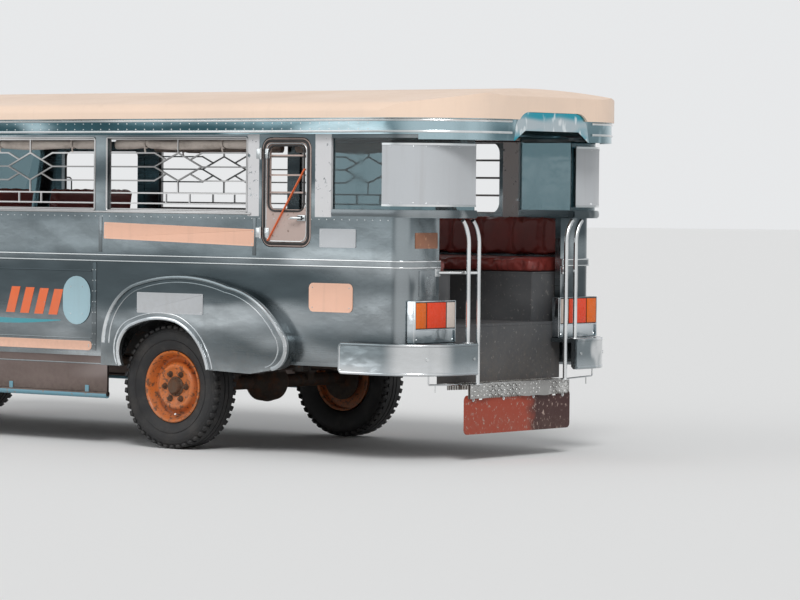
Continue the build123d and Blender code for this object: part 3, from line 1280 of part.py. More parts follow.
# Bumpers: a full-width front bar and two rear corner pieces
BUMPER_H = 150
BUMPER_Z = 520
BUMPER_T = 60
HORN_DROP = 20  # the bumper's horns are this much lower than the rails, above and below
BOLT_SPAN_Y = 520  # four bolt holes for a push bar
BOLT_SPAN_Z = 70
BOLT_HOLE_R = 6.5
FRONT_BUMPER_HALF = BODY_HALF - 20
REAR_BUMPER_Z = 515
REAR_BUMPER_H = 185
REAR_BUMPER_T = 44
REAR_BUMPER_REACH = BAND_TAIL + 30  # rear axle back to its rear face
REAR_BUMPER_FRONT = REAR_BUMPER_REACH - 630  # rear axle back to the corner piece's front end
REAR_BUMPER_HALF = BODY_HALF + 70
REAR_BUMPER_R = 370
REAR_BUMPER_IN_Y = CORNER_END_Y - 110
REAR_BUMPER_EDGE = 16


def bumper_plan(inset):
    """Plan of the rear bumper's outer face, drawn in by inset."""
    return plan_outline(
        REAR_AXLE_X - REAR_BUMPER_REACH + inset,
        REAR_AXLE_X - REAR_BUMPER_FRONT,
        REAR_BUMPER_HALF - inset,
        REAR_BUMPER_R - inset,
    )


with BuildPart() as bumpers:
    with BuildSketch(Plane.XY.offset(REAR_BUMPER_Z)):
        add(bumper_plan(0))
        add(bumper_plan(REAR_BUMPER_T), mode=Mode.SUBTRACT)
        with Locations((REAR_AXLE_X - REAR_BUMPER_REACH, 0)):
            Rectangle(4 * REAR_BUMPER_T, 2 * REAR_BUMPER_IN_Y, mode=Mode.SUBTRACT)
    extrude(amount=REAR_BUMPER_H)
    long_edges = bumpers.edges().filter_by(Axis.Z, reverse=True).filter_by(
        lambda edge: edge.length > 2 * REAR_BUMPER_T
    )
    chamfer(long_edges, REAR_BUMPER_EDGE)
    # Shelf between the bumper and the rear wall, which carries the tail lamps
    with BuildSketch(Plane.XY.offset(REAR_BUMPER_Z + REAR_BUMPER_H - 2 * SHELF_T)):
        add(bumper_plan(REAR_BUMPER_T / 2))
        add(body_plan(-SKIN_GAP - MOULD_OUT, COWL_X), mode=Mode.SUBTRACT)
        with Locations((REAR_AXLE_X - REAR_BUMPER_REACH, 0)):
            Rectangle(2 * REAR_BUMPER_R, 2 * REAR_BUMPER_IN_Y, mode=Mode.SUBTRACT)
        with Locations((BODY_REAR_X + BODY_CORNER_R + BODY_TAIL / 2, 0)):
            Rectangle(BODY_TAIL, 4 * BODY_HALF, mode=Mode.SUBTRACT)
    extrude(amount=2 * SHELF_T)
    with BuildSketch(cross_plane(FRONT_AXLE_X + NOSE_REACH - BUMPER_T)):
        with Locations((0, BUMPER_Z + BUMPER_H / 2)):
            RectangleRounded(2 * FRONT_BUMPER_HALF, BUMPER_H, 40)
            with GridLocations(BOLT_SPAN_Y, BOLT_SPAN_Z, 2, 2):
                Circle(BOLT_HOLE_R, mode=Mode.SUBTRACT)
    extrude(amount=BUMPER_T)
    for y in (RAIL_OUT - RAIL_W / 2, -RAIL_OUT + RAIL_W / 2):
        bracket_x = (RAIL_FRONT_X + FRONT_AXLE_X + NOSE_REACH - BUMPER_T) / 2
        with Locations((bracket_x, y, RAIL_Z + RAIL_H / 2)):
            Box(FRONT_AXLE_X + NOSE_REACH - BUMPER_T - RAIL_FRONT_X, RAIL_W, RAIL_H - 2 * HORN_DROP)

# Tail lamps on the bumper's shelf: housings with three lenses in a row
TAIL_LAMP_OUT = BODY_HALF - 35
TAIL_LAMP_W = 391
TAIL_LAMP_H = 250
TAIL_LAMP_REACH = BODY_TAIL + 55  # rear axle back to the lamps' face
LENS_T = 10
LENS_H = 152
# Outer and inner edges of each lens, as shares of the housing's width from its outer edge
LENSES = [(0.03, 0.27), (0.30, 0.75), (0.78, 0.97)]

with BuildPart() as tail_lamps:
    lamp_z = REAR_BUMPER_Z + REAR_BUMPER_H
    lamp_x = REAR_AXLE_X - TAIL_LAMP_REACH
    lamp_y = TAIL_LAMP_OUT - TAIL_LAMP_W / 2
    with Locations(((lamp_x + BODY_REAR_X) / 2, lamp_y, lamp_z + TAIL_LAMP_H / 2)):
        Box(BODY_REAR_X - lamp_x, TAIL_LAMP_W, TAIL_LAMP_H)
    for start, end in LENSES:
        lens_y = TAIL_LAMP_OUT - (start + end) / 2 * TAIL_LAMP_W
        with Locations((lamp_x - LENS_T / 2, lens_y, lamp_z + TAIL_LAMP_H - LENS_T - LENS_H / 2)):
            Box(LENS_T, (end - start) * TAIL_LAMP_W, LENS_H)
    mirror(about=Plane.XZ)

# Rear step with its brackets, and the mud board under it
STEP_H = 85
STEP_HALF = CORNER_END_Y - 110
STEP_REACH = BAND_TAIL - 35  # rear axle back to the step's lip
STEP_T = 6
STEP_BRACKET_W = 40
MUD_T = 10
MUD_HALF = STEP_HALF + 28
MUD_Z = 160
STEP_REAR_X = REAR_AXLE_X - STEP_REACH
STEP_FRONT_X = BODY_REAR_X - SKIN_GAP

with BuildPart() as rear_step:
    with BuildSketch(side_plane(STEP_HALF)):
        with BuildLine():
            Polyline(
                (STEP_REAR_X, STEP_Z),
                (STEP_FRONT_X, STEP_Z),
                (STEP_FRONT_X, STEP_Z - STEP_T),
                (STEP_REAR_X + STEP_T, STEP_Z - STEP_T),
                (STEP_REAR_X + STEP_T, STEP_Z - STEP_H),
                (STEP_REAR_X, STEP_Z - STEP_H),
                close=True,
            )
        make_face()
    extrude(amount=2 * STEP_HALF)
    # Hangers from the frame rails, angled under the tread
    bracket_x = RAIL_REAR_X + 60
    for y in (SPRING_Y, -SPRING_Y):
        with BuildSketch(side_plane(y + STEP_BRACKET_W / 2)):
            with BuildLine():
                Polyline(
                    (bracket_x, RAIL_Z),
                    (bracket_x - 50, RAIL_Z),
                    (bracket_x - 50, STEP_Z - STEP_T),
                    (STEP_REAR_X + STEP_T, STEP_Z - STEP_T),
                    (STEP_REAR_X + STEP_T, STEP_Z - STEP_T - 25),
                    (bracket_x, STEP_Z - STEP_T - 40),
                    close=True,
                )
            make_face()
        extrude(amount=STEP_BRACKET_W)

with BuildPart() as mud_board:
    with BuildSketch(cross_plane(STEP_REAR_X + STEP_T)):
        with Locations((0, (MUD_Z + STEP_Z - STEP_H) / 2 + 10)):
            RectangleRounded(2 * MUD_HALF, STEP_Z - STEP_H - MUD_Z + 20, 30)
    extrude(amount=MUD_T)
    # Notched round the step's hangers
    with BuildSketch(cross_plane(STEP_REAR_X)):
        with Locations((SPRING_Y, STEP_Z - STEP_H + 20), (-SPRING_Y, STEP_Z - STEP_H + 20)):
            Rectangle(STEP_BRACKET_W + 4, 60)
    extrude(amount=50, mode=Mode.SUBTRACT)

# Handrails: bent pipes by the rear door, and two bars under the roof bows
PIPE_R = 13
RAIL_BEND_H = 150  # the rails' bent tops
RAIL_X = BAND_REAR_X + 17
BAR_Z = 1110
BAR_FOOT_T = 14
# Outer and inner rail at the rear door: lower y, upper y, foot height
DOOR_RAILS = [
    (REAR_BUMPER_IN_Y + 40, DOOR_POST_Y + 113, REAR_BUMPER_Z + REAR_BUMPER_H),
    (REAR_BUMPER_IN_Y - 59, DOOR_POST_Y + 16, STEP_Z),
]
CEILING_BAR_Y = 300
CEILING_BAR_Z = EAVES_Z - 15
HANGER_L = 20
HANGER_W = 12

with BuildPart() as handrails:
    for low_y, high_y, foot in DOOR_RAILS:
        with BuildLine() as route:
            Line((RAIL_X, low_y, foot), (RAIL_X, low_y, BAND_Z - RAIL_BEND_H))
            TangentArc(
                (RAIL_X, low_y, BAND_Z - RAIL_BEND_H),
                (RAIL_X, high_y, BAND_Z - PIPE_R),
                tangent=(0, 0, 1),
            )
        with BuildSketch(Plane.XY.offset(foot)):
            with Locations((RAIL_X, low_y)):
                Circle(PIPE_R)
        sweep(path=route.line)
    bar_start = Vector(RAIL_X, DOOR_RAILS[1][0], BAR_Z)
    bar_end = Vector(BODY_REAR_X - BAR_FOOT_T, CORNER_END_Y + 30, BAR_Z)
    bar_run = bar_end - bar_start
    with BuildSketch(Plane(origin=bar_start, z_dir=bar_run)):
        Circle(PIPE_R - 3)
    extrude(amount=bar_run.length - PIPE_R / 2)
    with Locations((BODY_REAR_X - BAR_FOOT_T / 2, CORNER_END_Y + 30, BAR_Z)):
        Box(BAR_FOOT_T, 50, 44)
    with BuildSketch(cross_plane(first_bow_x - 2 * HANGER_L)):
        with Locations((CEILING_BAR_Y, CEILING_BAR_Z)):
            Circle(PIPE_R)
    extrude(amount=(BOW_COUNT - 3) * bow_pitch + 4 * HANGER_L)
    for bow in range(BOW_COUNT - 2):
        with Locations(
            (first_bow_x + bow * bow_pitch, CEILING_BAR_Y, (CEILING_BAR_Z + FASCIA_TOP_Z) / 2)
        ):
            Box(HANGER_L, HANGER_W, FASCIA_TOP_Z - CEILING_BAR_Z)
    mirror(about=Plane.XZ)

# Side skirts under the sills, with a tube along their lower edge
SKIRT_Z = 315
SKIRT_T = 16
SKIRT_REAR = 508  # rear axle forward to the skirt's rear end
SKIRT_TUBE_R = 16
SKIRT_IN = 30  # inside the side panels' outer face

with BuildPart() as side_skirts:
    skirt_rear_x = REAR_AXLE_X + SKIRT_REAR
    skirt_front_x = FRONT_AXLE_X - FENDER_REAR - DOOR_GAP
    skirt_y = BODY_HALF - SKIRT_IN
    with Locations(((skirt_rear_x + skirt_front_x) / 2, skirt_y, (SKIRT_Z + SILL_Z) / 2)):
        Box(skirt_front_x - skirt_rear_x, SKIRT_T, SILL_Z - SKIRT_Z)
    with BuildSketch(cross_plane(skirt_rear_x)):
        with Locations((skirt_y, SKIRT_Z)):
            Circle(SKIRT_TUBE_R)
    extrude(amount=skirt_front_x - skirt_rear_x)
    mirror(about=Plane.XZ)

# Mirrors on arms from the windscreen posts
MIRROR_Y = BODY_HALF + 125
MIRROR_W = 120
MIRROR_H = 200
MIRROR_Z = 1560
MIRROR_X = CAB_FRONT_X + 50
ARM_T = 14

with BuildPart() as mirrors:
    with BuildSketch(cross_plane(MIRROR_X)):
        with Locations((MIRROR_Y, MIRROR_Z)):
            RectangleRounded(MIRROR_W, MIRROR_H, 30)
    extrude(amount=24)
    for z in (MIRROR_Z - MIRROR_H / 3, MIRROR_Z + MIRROR_H / 3):
        with Locations((MIRROR_X + 12, (BODY_HALF + MIRROR_Y) / 2, z)):
            Box(ARM_T, MIRROR_Y - BODY_HALF, ARM_T)
    mirror(about=Plane.XZ)

PIECES = {
    "chassis_frame": chassis_frame,
    "engine_block": engine_block,
    "exhaust": exhaust,
    "fuel_tank": fuel_tank,
    "rear_axle": rear_axle,
    "front_axle": front_axle,
    "leaf_springs": leaf_springs,
    "knuckle_left": knuckles["left"],
    "knuckle_right": knuckles["right"],
    "tie_rod": tie_rod,
    "floor_pan": floor_pan,
    "side_panels": side_panels,
    "window_walls": window_walls,
    "window_grilles": window_grilles,
    "clear_panes": clear_panes,
    "cab_front": cab_front,
    "dashboard": dashboard,
    "steering_wheel": steering_wheel,
    "roof_shell": roof_shell,
    "roof_fascia": roof_fascia,
    "rear_valance": rear_valance,
    "seat_bases": seat_bases,
    "bench_cushions": bench_cushions,
    "bench_backs": bench_backs,
    "cab_seat_pads": cab_seat_pads,
    "rolled_curtains": rolled_curtains,
    "front_door_left": front_doors["left"],
    "front_door_right": front_doors["right"],
    "emergency_door": emergency_door,
    "hood": hood,
    "nose_grille": nose_grille,
    "headlamps": headlamps,
    "front_fenders": front_fenders,
    "rear_fenders": rear_fenders,
    "bumpers": bumpers,
    "tail_lamps": tail_lamps,
    "rear_step": rear_step,
    "mud_board": mud_board,
    "handrails": handrails,
    "side_skirts": side_skirts,
    "mirrors": mirrors,
}
for name, tyre in tyres.items():
    PIECES["tyre_" + name] = tyre
for name, wheel in wheels.items():
    PIECES["wheel_" + name] = wheel

for label, piece in PIECES.items():
    piece.part.label = label
    export_step(piece.part, f"parts/{label}.step")
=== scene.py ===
"""Passenger jeepney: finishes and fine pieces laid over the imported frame."""

import logging
import math
import random
from dataclasses import dataclass, field
from enum import Enum
from typing import Callable, Iterable, Sequence

import bmesh
import bpy
from mathutils import Matrix, Vector


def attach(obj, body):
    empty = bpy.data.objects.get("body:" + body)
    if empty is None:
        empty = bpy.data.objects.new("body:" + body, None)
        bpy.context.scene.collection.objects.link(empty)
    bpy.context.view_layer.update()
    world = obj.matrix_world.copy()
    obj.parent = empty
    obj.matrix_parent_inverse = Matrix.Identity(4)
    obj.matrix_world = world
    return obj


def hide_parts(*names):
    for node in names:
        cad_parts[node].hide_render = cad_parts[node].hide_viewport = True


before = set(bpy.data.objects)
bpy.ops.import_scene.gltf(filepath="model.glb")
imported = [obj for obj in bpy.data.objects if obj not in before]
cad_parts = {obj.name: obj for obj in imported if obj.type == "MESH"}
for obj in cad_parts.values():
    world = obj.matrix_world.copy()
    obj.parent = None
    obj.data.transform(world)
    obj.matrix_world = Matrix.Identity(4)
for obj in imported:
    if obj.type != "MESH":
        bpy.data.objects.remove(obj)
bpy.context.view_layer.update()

log = logging.getLogger("jeepney")

REAR_AXLE_X = -0.975
FRONT_AXLE_X = 2.375
AXLE_Z = 0.38
SIDE_Y = 0.95
BODY_REAR_X = -2.795
BAND_REAR_X = -2.975
BAND_Z = 1.43
WINDOW_Z = 1.45
WINDOW_TOP_Z = 1.897
PANEL_Y = 0.951

UP = Vector((0, 0, 1))
AHEAD = Vector((1, 0, 0))
BACK = Vector((-1, 0, 0))

Point = tuple[float, float, float]
Tone = tuple[float, float, float]
Ring = list[Vector]


class Side(Enum):
    """Side of the vehicle; the value is the sign of Y."""

    LEFT = 1
    RIGHT = -1

    @property
    def label(self) -> str:
        """Ending of the names of this side's pieces."""
        return self.name.lower()

    @property
    def out(self) -> Vector:
        """Direction that points out of this side."""
        return Vector((0, self.value, 0))


class Axis(Enum):
    """Coordinate axis; the value is its index."""

    X = 0
    Y = 1
    Z = 2


# Shader graphs
@dataclass
class Graph:
    """Adds nodes to one node tree and links them.

    Args:
        tree: node tree of a material, a world or a group.
    """

    tree: bpy.types.NodeTree

    def add(self, kind: str, inputs: dict | None = None, **settings) -> bpy.types.Node:
        """Add a node.

        Args:
            kind: Blender's node type.
            inputs: socket name or index to a value or to another node's socket.
            settings: attributes of the node.

        Returns:
            The new node.
        """
        node = self.tree.nodes.new(kind)
        for name, value in settings.items():
            setattr(node, name, value)
        for key, value in (inputs or {}).items():
            if isinstance(value, bpy.types.NodeSocket):
                self.tree.links.new(value, node.inputs[key])
            else:
                node.inputs[key].default_value = value
        return node

    def math(self, operation: str, first, second=0.0, clamp: bool = False) -> bpy.types.NodeSocket:
        """Return the result socket of a Math node."""
        return self.add(
            "ShaderNodeMath", {0: first, 1: second}, operation=operation, use_clamp=clamp
        ).outputs[0]

    def times(self, first, second) -> bpy.types.NodeSocket:
        """Return the product of two numbers."""
        return self.math("MULTIPLY", first, second)

    def inverse(self, value) -> bpy.types.NodeSocket:
        """Return 1 less a number."""
        return self.math("SUBTRACT", 1.0, value)

    def mix(self, factor, first, second) -> bpy.types.NodeSocket:
        """Return a colour mixed from two colours by a factor."""
        node = self.add("ShaderNodeMix", data_type="RGBA")
        for index, value in ((0, factor), (6, first), (7, second)):
            if isinstance(value, bpy.types.NodeSocket):
                self.tree.links.new(value, node.inputs[index])
            elif index:
                node.inputs[index].default_value = (*value, 1.0)
            else:
                node.inputs[index].default_value = value
        return node.outputs[2]

    def blend(self, factor, low, high) -> bpy.types.NodeSocket:
        """Return a number that runs from low to high with a factor from 0 to 1."""
        return self.add("ShaderNodeMapRange", {0: factor, 3: low, 4: high}).outputs[0]

    def step(self, value, low: float, high: float) -> bpy.types.NodeSocket:
        """Return 0 below low and 1 above high, with a smooth rise between."""
        node = self.add("ShaderNodeMapRange", {0: value, 1: low, 2: high}, interpolation_type="SMOOTHSTEP")
        return node.outputs[0]

    def place(self, scale: Point = (1, 1, 1), turn: Point = (0, 0, 0)) -> bpy.types.NodeSocket:
        """Return Object coordinates, scaled and turned."""
        coords = self.add("ShaderNodeTexCoord").outputs["Object"]
        return self.add("ShaderNodeMapping", {0: coords, 2: turn, 3: scale}).outputs[0]

    def axis(self, axis: Axis) -> bpy.types.NodeSocket:
        """Return one of the Object coordinates, in metres."""
        split = self.add("ShaderNodeSeparateXYZ", {0: self.add("ShaderNodeTexCoord").outputs["Object"]})
        return split.outputs[axis.value]

    def noise(self, vector, scale, detail: float = 3.0, rough: float = 0.5) -> bpy.types.NodeSocket:
        """Return the value of a Noise texture."""
        return self.add(
            "ShaderNodeTexNoise", {0: vector, "Scale": scale, "Detail": detail, "Roughness": rough}
        ).outputs[0]

    def within(self, axis: Axis, low: float, high: float, edge: float = 0.004) -> bpy.types.NodeSocket:
        """Return a mask that is 1 between two places along an axis."""
        place = self.axis(axis)
        return self.times(
            self.step(place, low - edge, low), self.inverse(self.step(place, high, high + edge))
        )


class Surface(Graph):
    """Graph of a material, with its Principled BSDF."""

    @property
    def shader(self) -> bpy.types.Node:
        """The Principled BSDF."""
        return self.tree.nodes["Principled BSDF"]

    def put(self, **values) -> None:
        """Link or set inputs of the shader; underscores stand for spaces."""
        for name, value in values.items():
            entry = self.shader.inputs[name.replace("_", " ")]
            if isinstance(value, bpy.types.NodeSocket):
                self.tree.links.new(value, entry)
            else:
                entry.default_value = value

    def raise_bumps(self, *layers: tuple) -> None:
        """Stack bump layers.

        Args:
            layers: height socket, strength and depth in metres of each layer.
        """
        normal = None
        for height, strength, depth in layers:
            bump = self.add("ShaderNodeBump", {"Height": height, "Strength": strength, "Distance": depth})
            if normal:
                self.tree.links.new(normal, bump.inputs["Normal"])
            normal = bump.outputs[0]
        self.put(Normal=normal)


@dataclass(frozen=True)
class Effect:
    """Surface effect that several finishes share, kept as a node group.

    Args:
        name: name of the group.
        inputs: input names with their defaults.
        draw: fills the graph; gets the inputs and returns the output socket.
    """

    name: str
    inputs: tuple[tuple[str, float], ...]
    draw: Callable[[Graph, dict[str, bpy.types.NodeSocket]], bpy.types.NodeSocket]

    def group(self) -> bpy.types.NodeTree:
        """Return the node group, built at its first use."""
        tree = bpy.data.node_groups.get(self.name)
        if tree:
            return tree
        tree = bpy.data.node_groups.new(self.name, "ShaderNodeTree")
        tree.interface.new_socket("Value", in_out="OUTPUT", socket_type="NodeSocketFloat")
        for label, default in self.inputs:
            tree.interface.new_socket(
                label, in_out="INPUT", socket_type="NodeSocketFloat"
            ).default_value = default
        graph = Graph(tree)
        entry = graph.add("NodeGroupInput")
        sockets = {label: entry.outputs[label] for label, _ in self.inputs}
        graph.add("NodeGroupOutput", {0: self.draw(graph, sockets)})
        return tree

    def use(self, graph: Graph, **values: float) -> bpy.types.NodeSocket:
        """Place the group in a graph and return its output."""
        node = graph.add("ShaderNodeGroup", node_tree=self.group())
        for label, value in values.items():
            node.inputs[label].default_value = value
        return node.outputs[0]


def draw_dents(graph: Graph, given: dict) -> bpy.types.NodeSocket:
    """Shallow hand-beaten dents of two sizes."""
    where = graph.place((1.0, 1.0, 1.6))
    large = graph.noise(where, given["Scale"], 1.0)
    small = graph.noise(where, graph.times(given["Scale"], 4.3), 2.0)
    return graph.math("ADD", graph.times(small, 0.1), large)


def draw_sheen(graph: Graph, given: dict) -> bpy.types.NodeSocket:
    """Soft bands and pools of darker reflection, as on sheet that isn't quite flat."""
    bands = graph.noise(graph.place((0.10, 0.16, 2.6)), given["Scale"], 1.0, 0.35)
    waves = graph.noise(graph.place((0.45, 0.6, 1.9)), graph.times(given["Scale"], 1.9), 0.6, 0.3)
    total = graph.math("ADD", graph.times(bands, 0.72), graph.times(waves, 0.28))
    return graph.step(total, 0.38, 0.60)


def draw_brushing(graph: Graph, given: dict) -> bpy.types.NodeSocket:
    """Fine polishing marks that run along the vehicle."""
    return graph.noise(graph.place((0.02, 1.0, 1.0)), given["Scale"], 4.0, 0.7)


def draw_grime(graph: Graph, given: dict) -> bpy.types.NodeSocket:
    """Road dirt that thickens towards the ground, with a broken upper edge."""
    height = graph.math(
        "ADD", graph.axis(Axis.Z),
        graph.times(graph.noise(graph.place((1, 1, 0.5)), 7.0, 5.0, 0.6), given["Break"]),
    )
    rise = graph.math(
        "DIVIDE", graph.math("SUBTRACT", given["Top"], height),
        graph.math("SUBTRACT", given["Top"], given["Bottom"]), True,
    )
    return graph.times(rise, graph.step(graph.noise(graph.place(), 38.0, 4.0, 0.65), 0.2, 0.75))


def draw_streaks(graph: Graph, given: dict) -> bpy.types.NodeSocket:
    """Rain marks that run down a surface."""
    marks = graph.noise(graph.place((1.0, 1.0, 0.06)), given["Scale"], 4.0, 0.6)
    return graph.step(marks, 0.5, 0.78)


def draw_wear(graph: Graph, given: dict) -> bpy.types.NodeSocket:
    """Chipped and rubbed patches."""
    patches = graph.noise(graph.place(), given["Scale"], 6.0, 0.7)
    low = graph.inverse(given["Amount"])
    return graph.math("DIVIDE", graph.math("SUBTRACT", patches, low), 0.06, True)


def draw_grain(graph: Graph, given: dict) -> bpy.types.NodeSocket:
    """Pebbled grain of vinyl."""
    cells = graph.add(
        "ShaderNodeTexVoronoi", {0: graph.place(), "Scale": given["Scale"]}, feature="SMOOTH_F1"
    )
    return cells.outputs["Distance"]


def draw_weave(graph: Graph, given: dict) -> bpy.types.NodeSocket:
    """Plain weave of canvas: two crossing sets of threads."""
    warp = graph.add(
        "ShaderNodeTexWave", {0: graph.place(), "Scale": given["Scale"], "Distortion": 0.6},
        bands_direction="X",
    )
    weft = graph.add(
        "ShaderNodeTexWave", {0: graph.place(), "Scale": given["Scale"], "Distortion": 0.6},
        bands_direction="Z",
    )
    return graph.times(warp.outputs[1], weft.outputs[1])


def draw_chequer(graph: Graph, given: dict) -> bpy.types.NodeSocket:
    """Raised lozenges of tread plate."""
    lozenges = graph.add(
        "ShaderNodeTexBrick",
        {
            0: graph.place((1, 1, 1), (0.0, 0.0, math.radians(45))), "Scale": given["Scale"],
            "Mortar Size": 0.035, "Mortar Smooth": 0.6, "Brick Width": 0.5, "Row Height": 0.14,
        },
    )
    return graph.inverse(lozenges.outputs["Fac"])


def draw_glints(graph: Graph, given: dict) -> bpy.types.NodeSocket:
    """Bright places where sheet catches the sky: pools on the sides, an upright band round each corner."""
    shine = graph.noise(graph.place((0.4, 3.4, 1.7)), given["Scale"], 1.0, 0.4)
    facing = graph.add(
        "ShaderNodeSeparateXYZ", {0: graph.add("ShaderNodeTexCoord").outputs["Normal"]}
    ).outputs
    diagonal = graph.math("ABSOLUTE", graph.times(facing[0], facing[1]))
    return graph.math("MAXIMUM", graph.step(shine, 0.56, 0.72), graph.step(diagonal, 0.14, 0.42))


DENTS = Effect("panel_dents", (("Scale", 3.0),), draw_dents)
SHEEN = Effect("banded_sheen", (("Scale", 1.3),), draw_sheen)
GLINTS = Effect("sky_glints", (("Scale", 1.6),), draw_glints)
BRUSHING = Effect("polishing_marks", (("Scale", 90.0),), draw_brushing)
GRIME = Effect("road_grime", (("Bottom", 0.3), ("Top", 1.0), ("Break", 0.3)), draw_grime)
STREAKS = Effect("rain_streaks", (("Scale", 12.0),), draw_streaks)
WEAR = Effect("chipped_wear", (("Scale", 20.0), ("Amount", 0.4)), draw_wear)
GRAIN = Effect("vinyl_grain", (("Scale", 260.0),), draw_grain)
WEAVE = Effect("canvas_weave", (("Scale", 160.0),), draw_weave)
CHEQUER = Effect("tread_lozenges", (("Scale", 9.0),), draw_chequer)

ROAD_DUST: Tone = (0.20, 0.16, 0.125)
RUST: Tone = (0.16, 0.06, 0.025)


# Finishes
@dataclass(frozen=True)
class Finish:
    """Base of every finish: makes its material once.

    Args:
        name: name of the material.
        tone: base colour.
        rough: roughness of clean places.
    """

    name: str
    tone: Tone
    rough: float = 0.5

    def material(self) -> bpy.types.Material:
        """Return the material, built at its first use."""
        label = f"{self.name}_look"
        if label in bpy.data.materials:
            return bpy.data.materials[label]
        material = bpy.data.materials.new(label)
        material.use_nodes = True
        material.diffuse_color = (*self.tone, 1.0)
        graph = Surface(material.node_tree)
        graph.put(Base_Color=(*self.tone, 1.0), Roughness=self.rough)
        self.draw(graph)
        return material

    def draw(self, graph: Surface) -> None:
        """Fill in the look; each kind of finish has its own."""
        raise NotImplementedError


@dataclass(frozen=True)
class SheetSteel(Finish):
    """Bright sheet with dents, polishing marks, road dirt, painted reflection bands and painted highlights.

    Args:
        dark: tone of the painted darker reflection bands and of the rain streaks.
        dent_scale: size of the dents; larger is smaller.
        dent_depth: depth of the dents in metres.
        dirt_top: height that the dirt reaches.
        brushed: depth of the polishing marks in the roughness.
        sheen_scale: size of the painted reflection bands and highlights; larger is smaller.
        glints: strength of the painted highlights.
    """

    dark: Tone = (0.2, 0.24, 0.25)
    dent_scale: float = 3.0
    dent_depth: float = 0.02
    dirt_top: float = 0.9
    brushed: float = 0.15
    sheen_scale: float = 1.3
    glints: float = 0.6

    def draw(self, graph: Surface) -> None:
        """Metal with painted reflection bands and highlights under its dirt."""
        graph.put(Metallic=1.0)
        # Painted reflection: SHEEN bands and pools darken the tone toward dark, and also roughen the sheet.
        patches = SHEEN.use(graph, Scale=self.sheen_scale)
        dirt = GRIME.use(graph, Bottom=0.2, Top=self.dirt_top, Break=0.3)
        streaks = STREAKS.use(graph, Scale=11.0)
        # Painted highlights: GLINTS lift the colour toward a brighter tone.
        bright = tuple(min(0.95, channel * 1.5 + 0.22) for channel in self.tone)
        metal = graph.mix(patches, self.tone, self.dark)
        metal = graph.mix(
            graph.times(GLINTS.use(graph, Scale=self.sheen_scale * 1.7), self.glints), metal, bright
        )
        metal = graph.mix(graph.times(streaks, 0.16), metal, self.dark)
        dirty = graph.times(dirt, 0.55)
        marks = BRUSHING.use(graph, Scale=120.0)
        rough = graph.math(
            "ADD", graph.blend(patches, self.rough, self.rough + 0.1), graph.times(marks, self.brushed)
        )
        graph.put(
            Base_Color=graph.mix(dirty, metal, ROAD_DUST),
            Roughness=graph.math("MAXIMUM", rough, graph.times(dirt, 0.7)),
            Metallic=graph.inverse(dirty),
        )
        graph.raise_bumps(
            (DENTS.use(graph, Scale=self.dent_scale), 0.35, self.dent_depth), (marks, 0.06, 0.001)
        )


@dataclass(frozen=True)
class Paint(Finish):
    """Paint with faded patches, rain marks, chips and dirt.

    Args:
        under: tone where the paint is chipped.
        chips: share of the surface that is chipped, from 0 to about 0.5.
        dirt_top: height that the dirt reaches.
        gloss: weight of the clear coat.
        streaked: strength of the rain marks.
    """

    under: Tone = (0.1, 0.08, 0.07)
    chips: float = 0.3
    dirt_top: float = 0.8
    gloss: float = 0.1
    streaked: float = 0.12

    def draw(self, graph: Surface) -> None:
        """Paint under a thin film of dust."""
        graph.put(Coat_Weight=self.gloss, Coat_Roughness=0.25, Specular_IOR_Level=0.3)
        faded = tuple(min(1.0, channel * 0.8 + 0.08) for channel in self.tone)
        fade = graph.step(graph.noise(graph.place((0.6, 1, 1)), 2.2, 5.0, 0.6), 0.35, 0.75)
        chips = WEAR.use(graph, Scale=34.0, Amount=self.chips)
        dirt = GRIME.use(graph, Bottom=0.1, Top=self.dirt_top, Break=0.3)
        colour = graph.mix(graph.times(fade, 0.7), self.tone, faded)
        colour = graph.mix(graph.times(STREAKS.use(graph, Scale=22.0), self.streaked), colour, ROAD_DUST)
        colour = graph.mix(chips, colour, self.under)
        colour = graph.mix(graph.times(dirt, 0.8), colour, ROAD_DUST)
        graph.put(
            Base_Color=colour,
            Roughness=graph.blend(graph.math("MAXIMUM", fade, dirt), self.rough, self.rough + 0.3),
        )
        graph.raise_bumps((DENTS.use(graph, Scale=4.0), 0.25, 0.01), (chips, 0.3, -0.0008))


@dataclass(frozen=True)
class OldIron(Finish):
    """Rusty or oily forging and pipe.

    Args:
        rust: how far the rust spreads, from 0 to 1.
    """

    rust: float = 0.5

    def draw(self, graph: Surface) -> None:
        """Dark iron with rust bloom and mud."""
        bloom = graph.step(graph.noise(graph.place(), 14.0, 8.0, 0.7), 0.62 - self.rust * 0.3, 0.75)
        mud = GRIME.use(graph, Bottom=0.2, Top=0.75, Break=0.4)
        colour = graph.mix(bloom, self.tone, RUST)
        colour = graph.mix(graph.times(mud, 0.6), colour, ROAD_DUST)
        graph.put(Base_Color=colour, Roughness=graph.blend(bloom, self.rough, 0.95))
        graph.put(Metallic=0.4)
        graph.raise_bumps((graph.noise(graph.place(), 90.0, 6.0, 0.7), 0.5, 0.003))


@dataclass(frozen=True)
class Rubber(Finish):
    """Black rubber with grey dust in patches.

    Args:
        dust: how thick the dust lies, from 0 to 1.
    """

    dust: float = 0.5

    def draw(self, graph: Surface) -> None:
        """Rubber, duller and greyer where dust has settled."""
        film = graph.step(graph.noise(graph.place(), 9.0, 6.0, 0.65), 0.4, 0.8)
        wet = graph.step(graph.noise(graph.place(), 3.0, 3.0), 0.45, 0.7)
        graph.put(
            Base_Color=graph.mix(graph.times(film, self.dust), self.tone, (0.11, 0.095, 0.08)),
            Roughness=graph.blend(wet, self.rough, self.rough + 0.25),
        )
        graph.raise_bumps((graph.noise(graph.place(), 320.0, 3.0), 0.35, 0.0008))


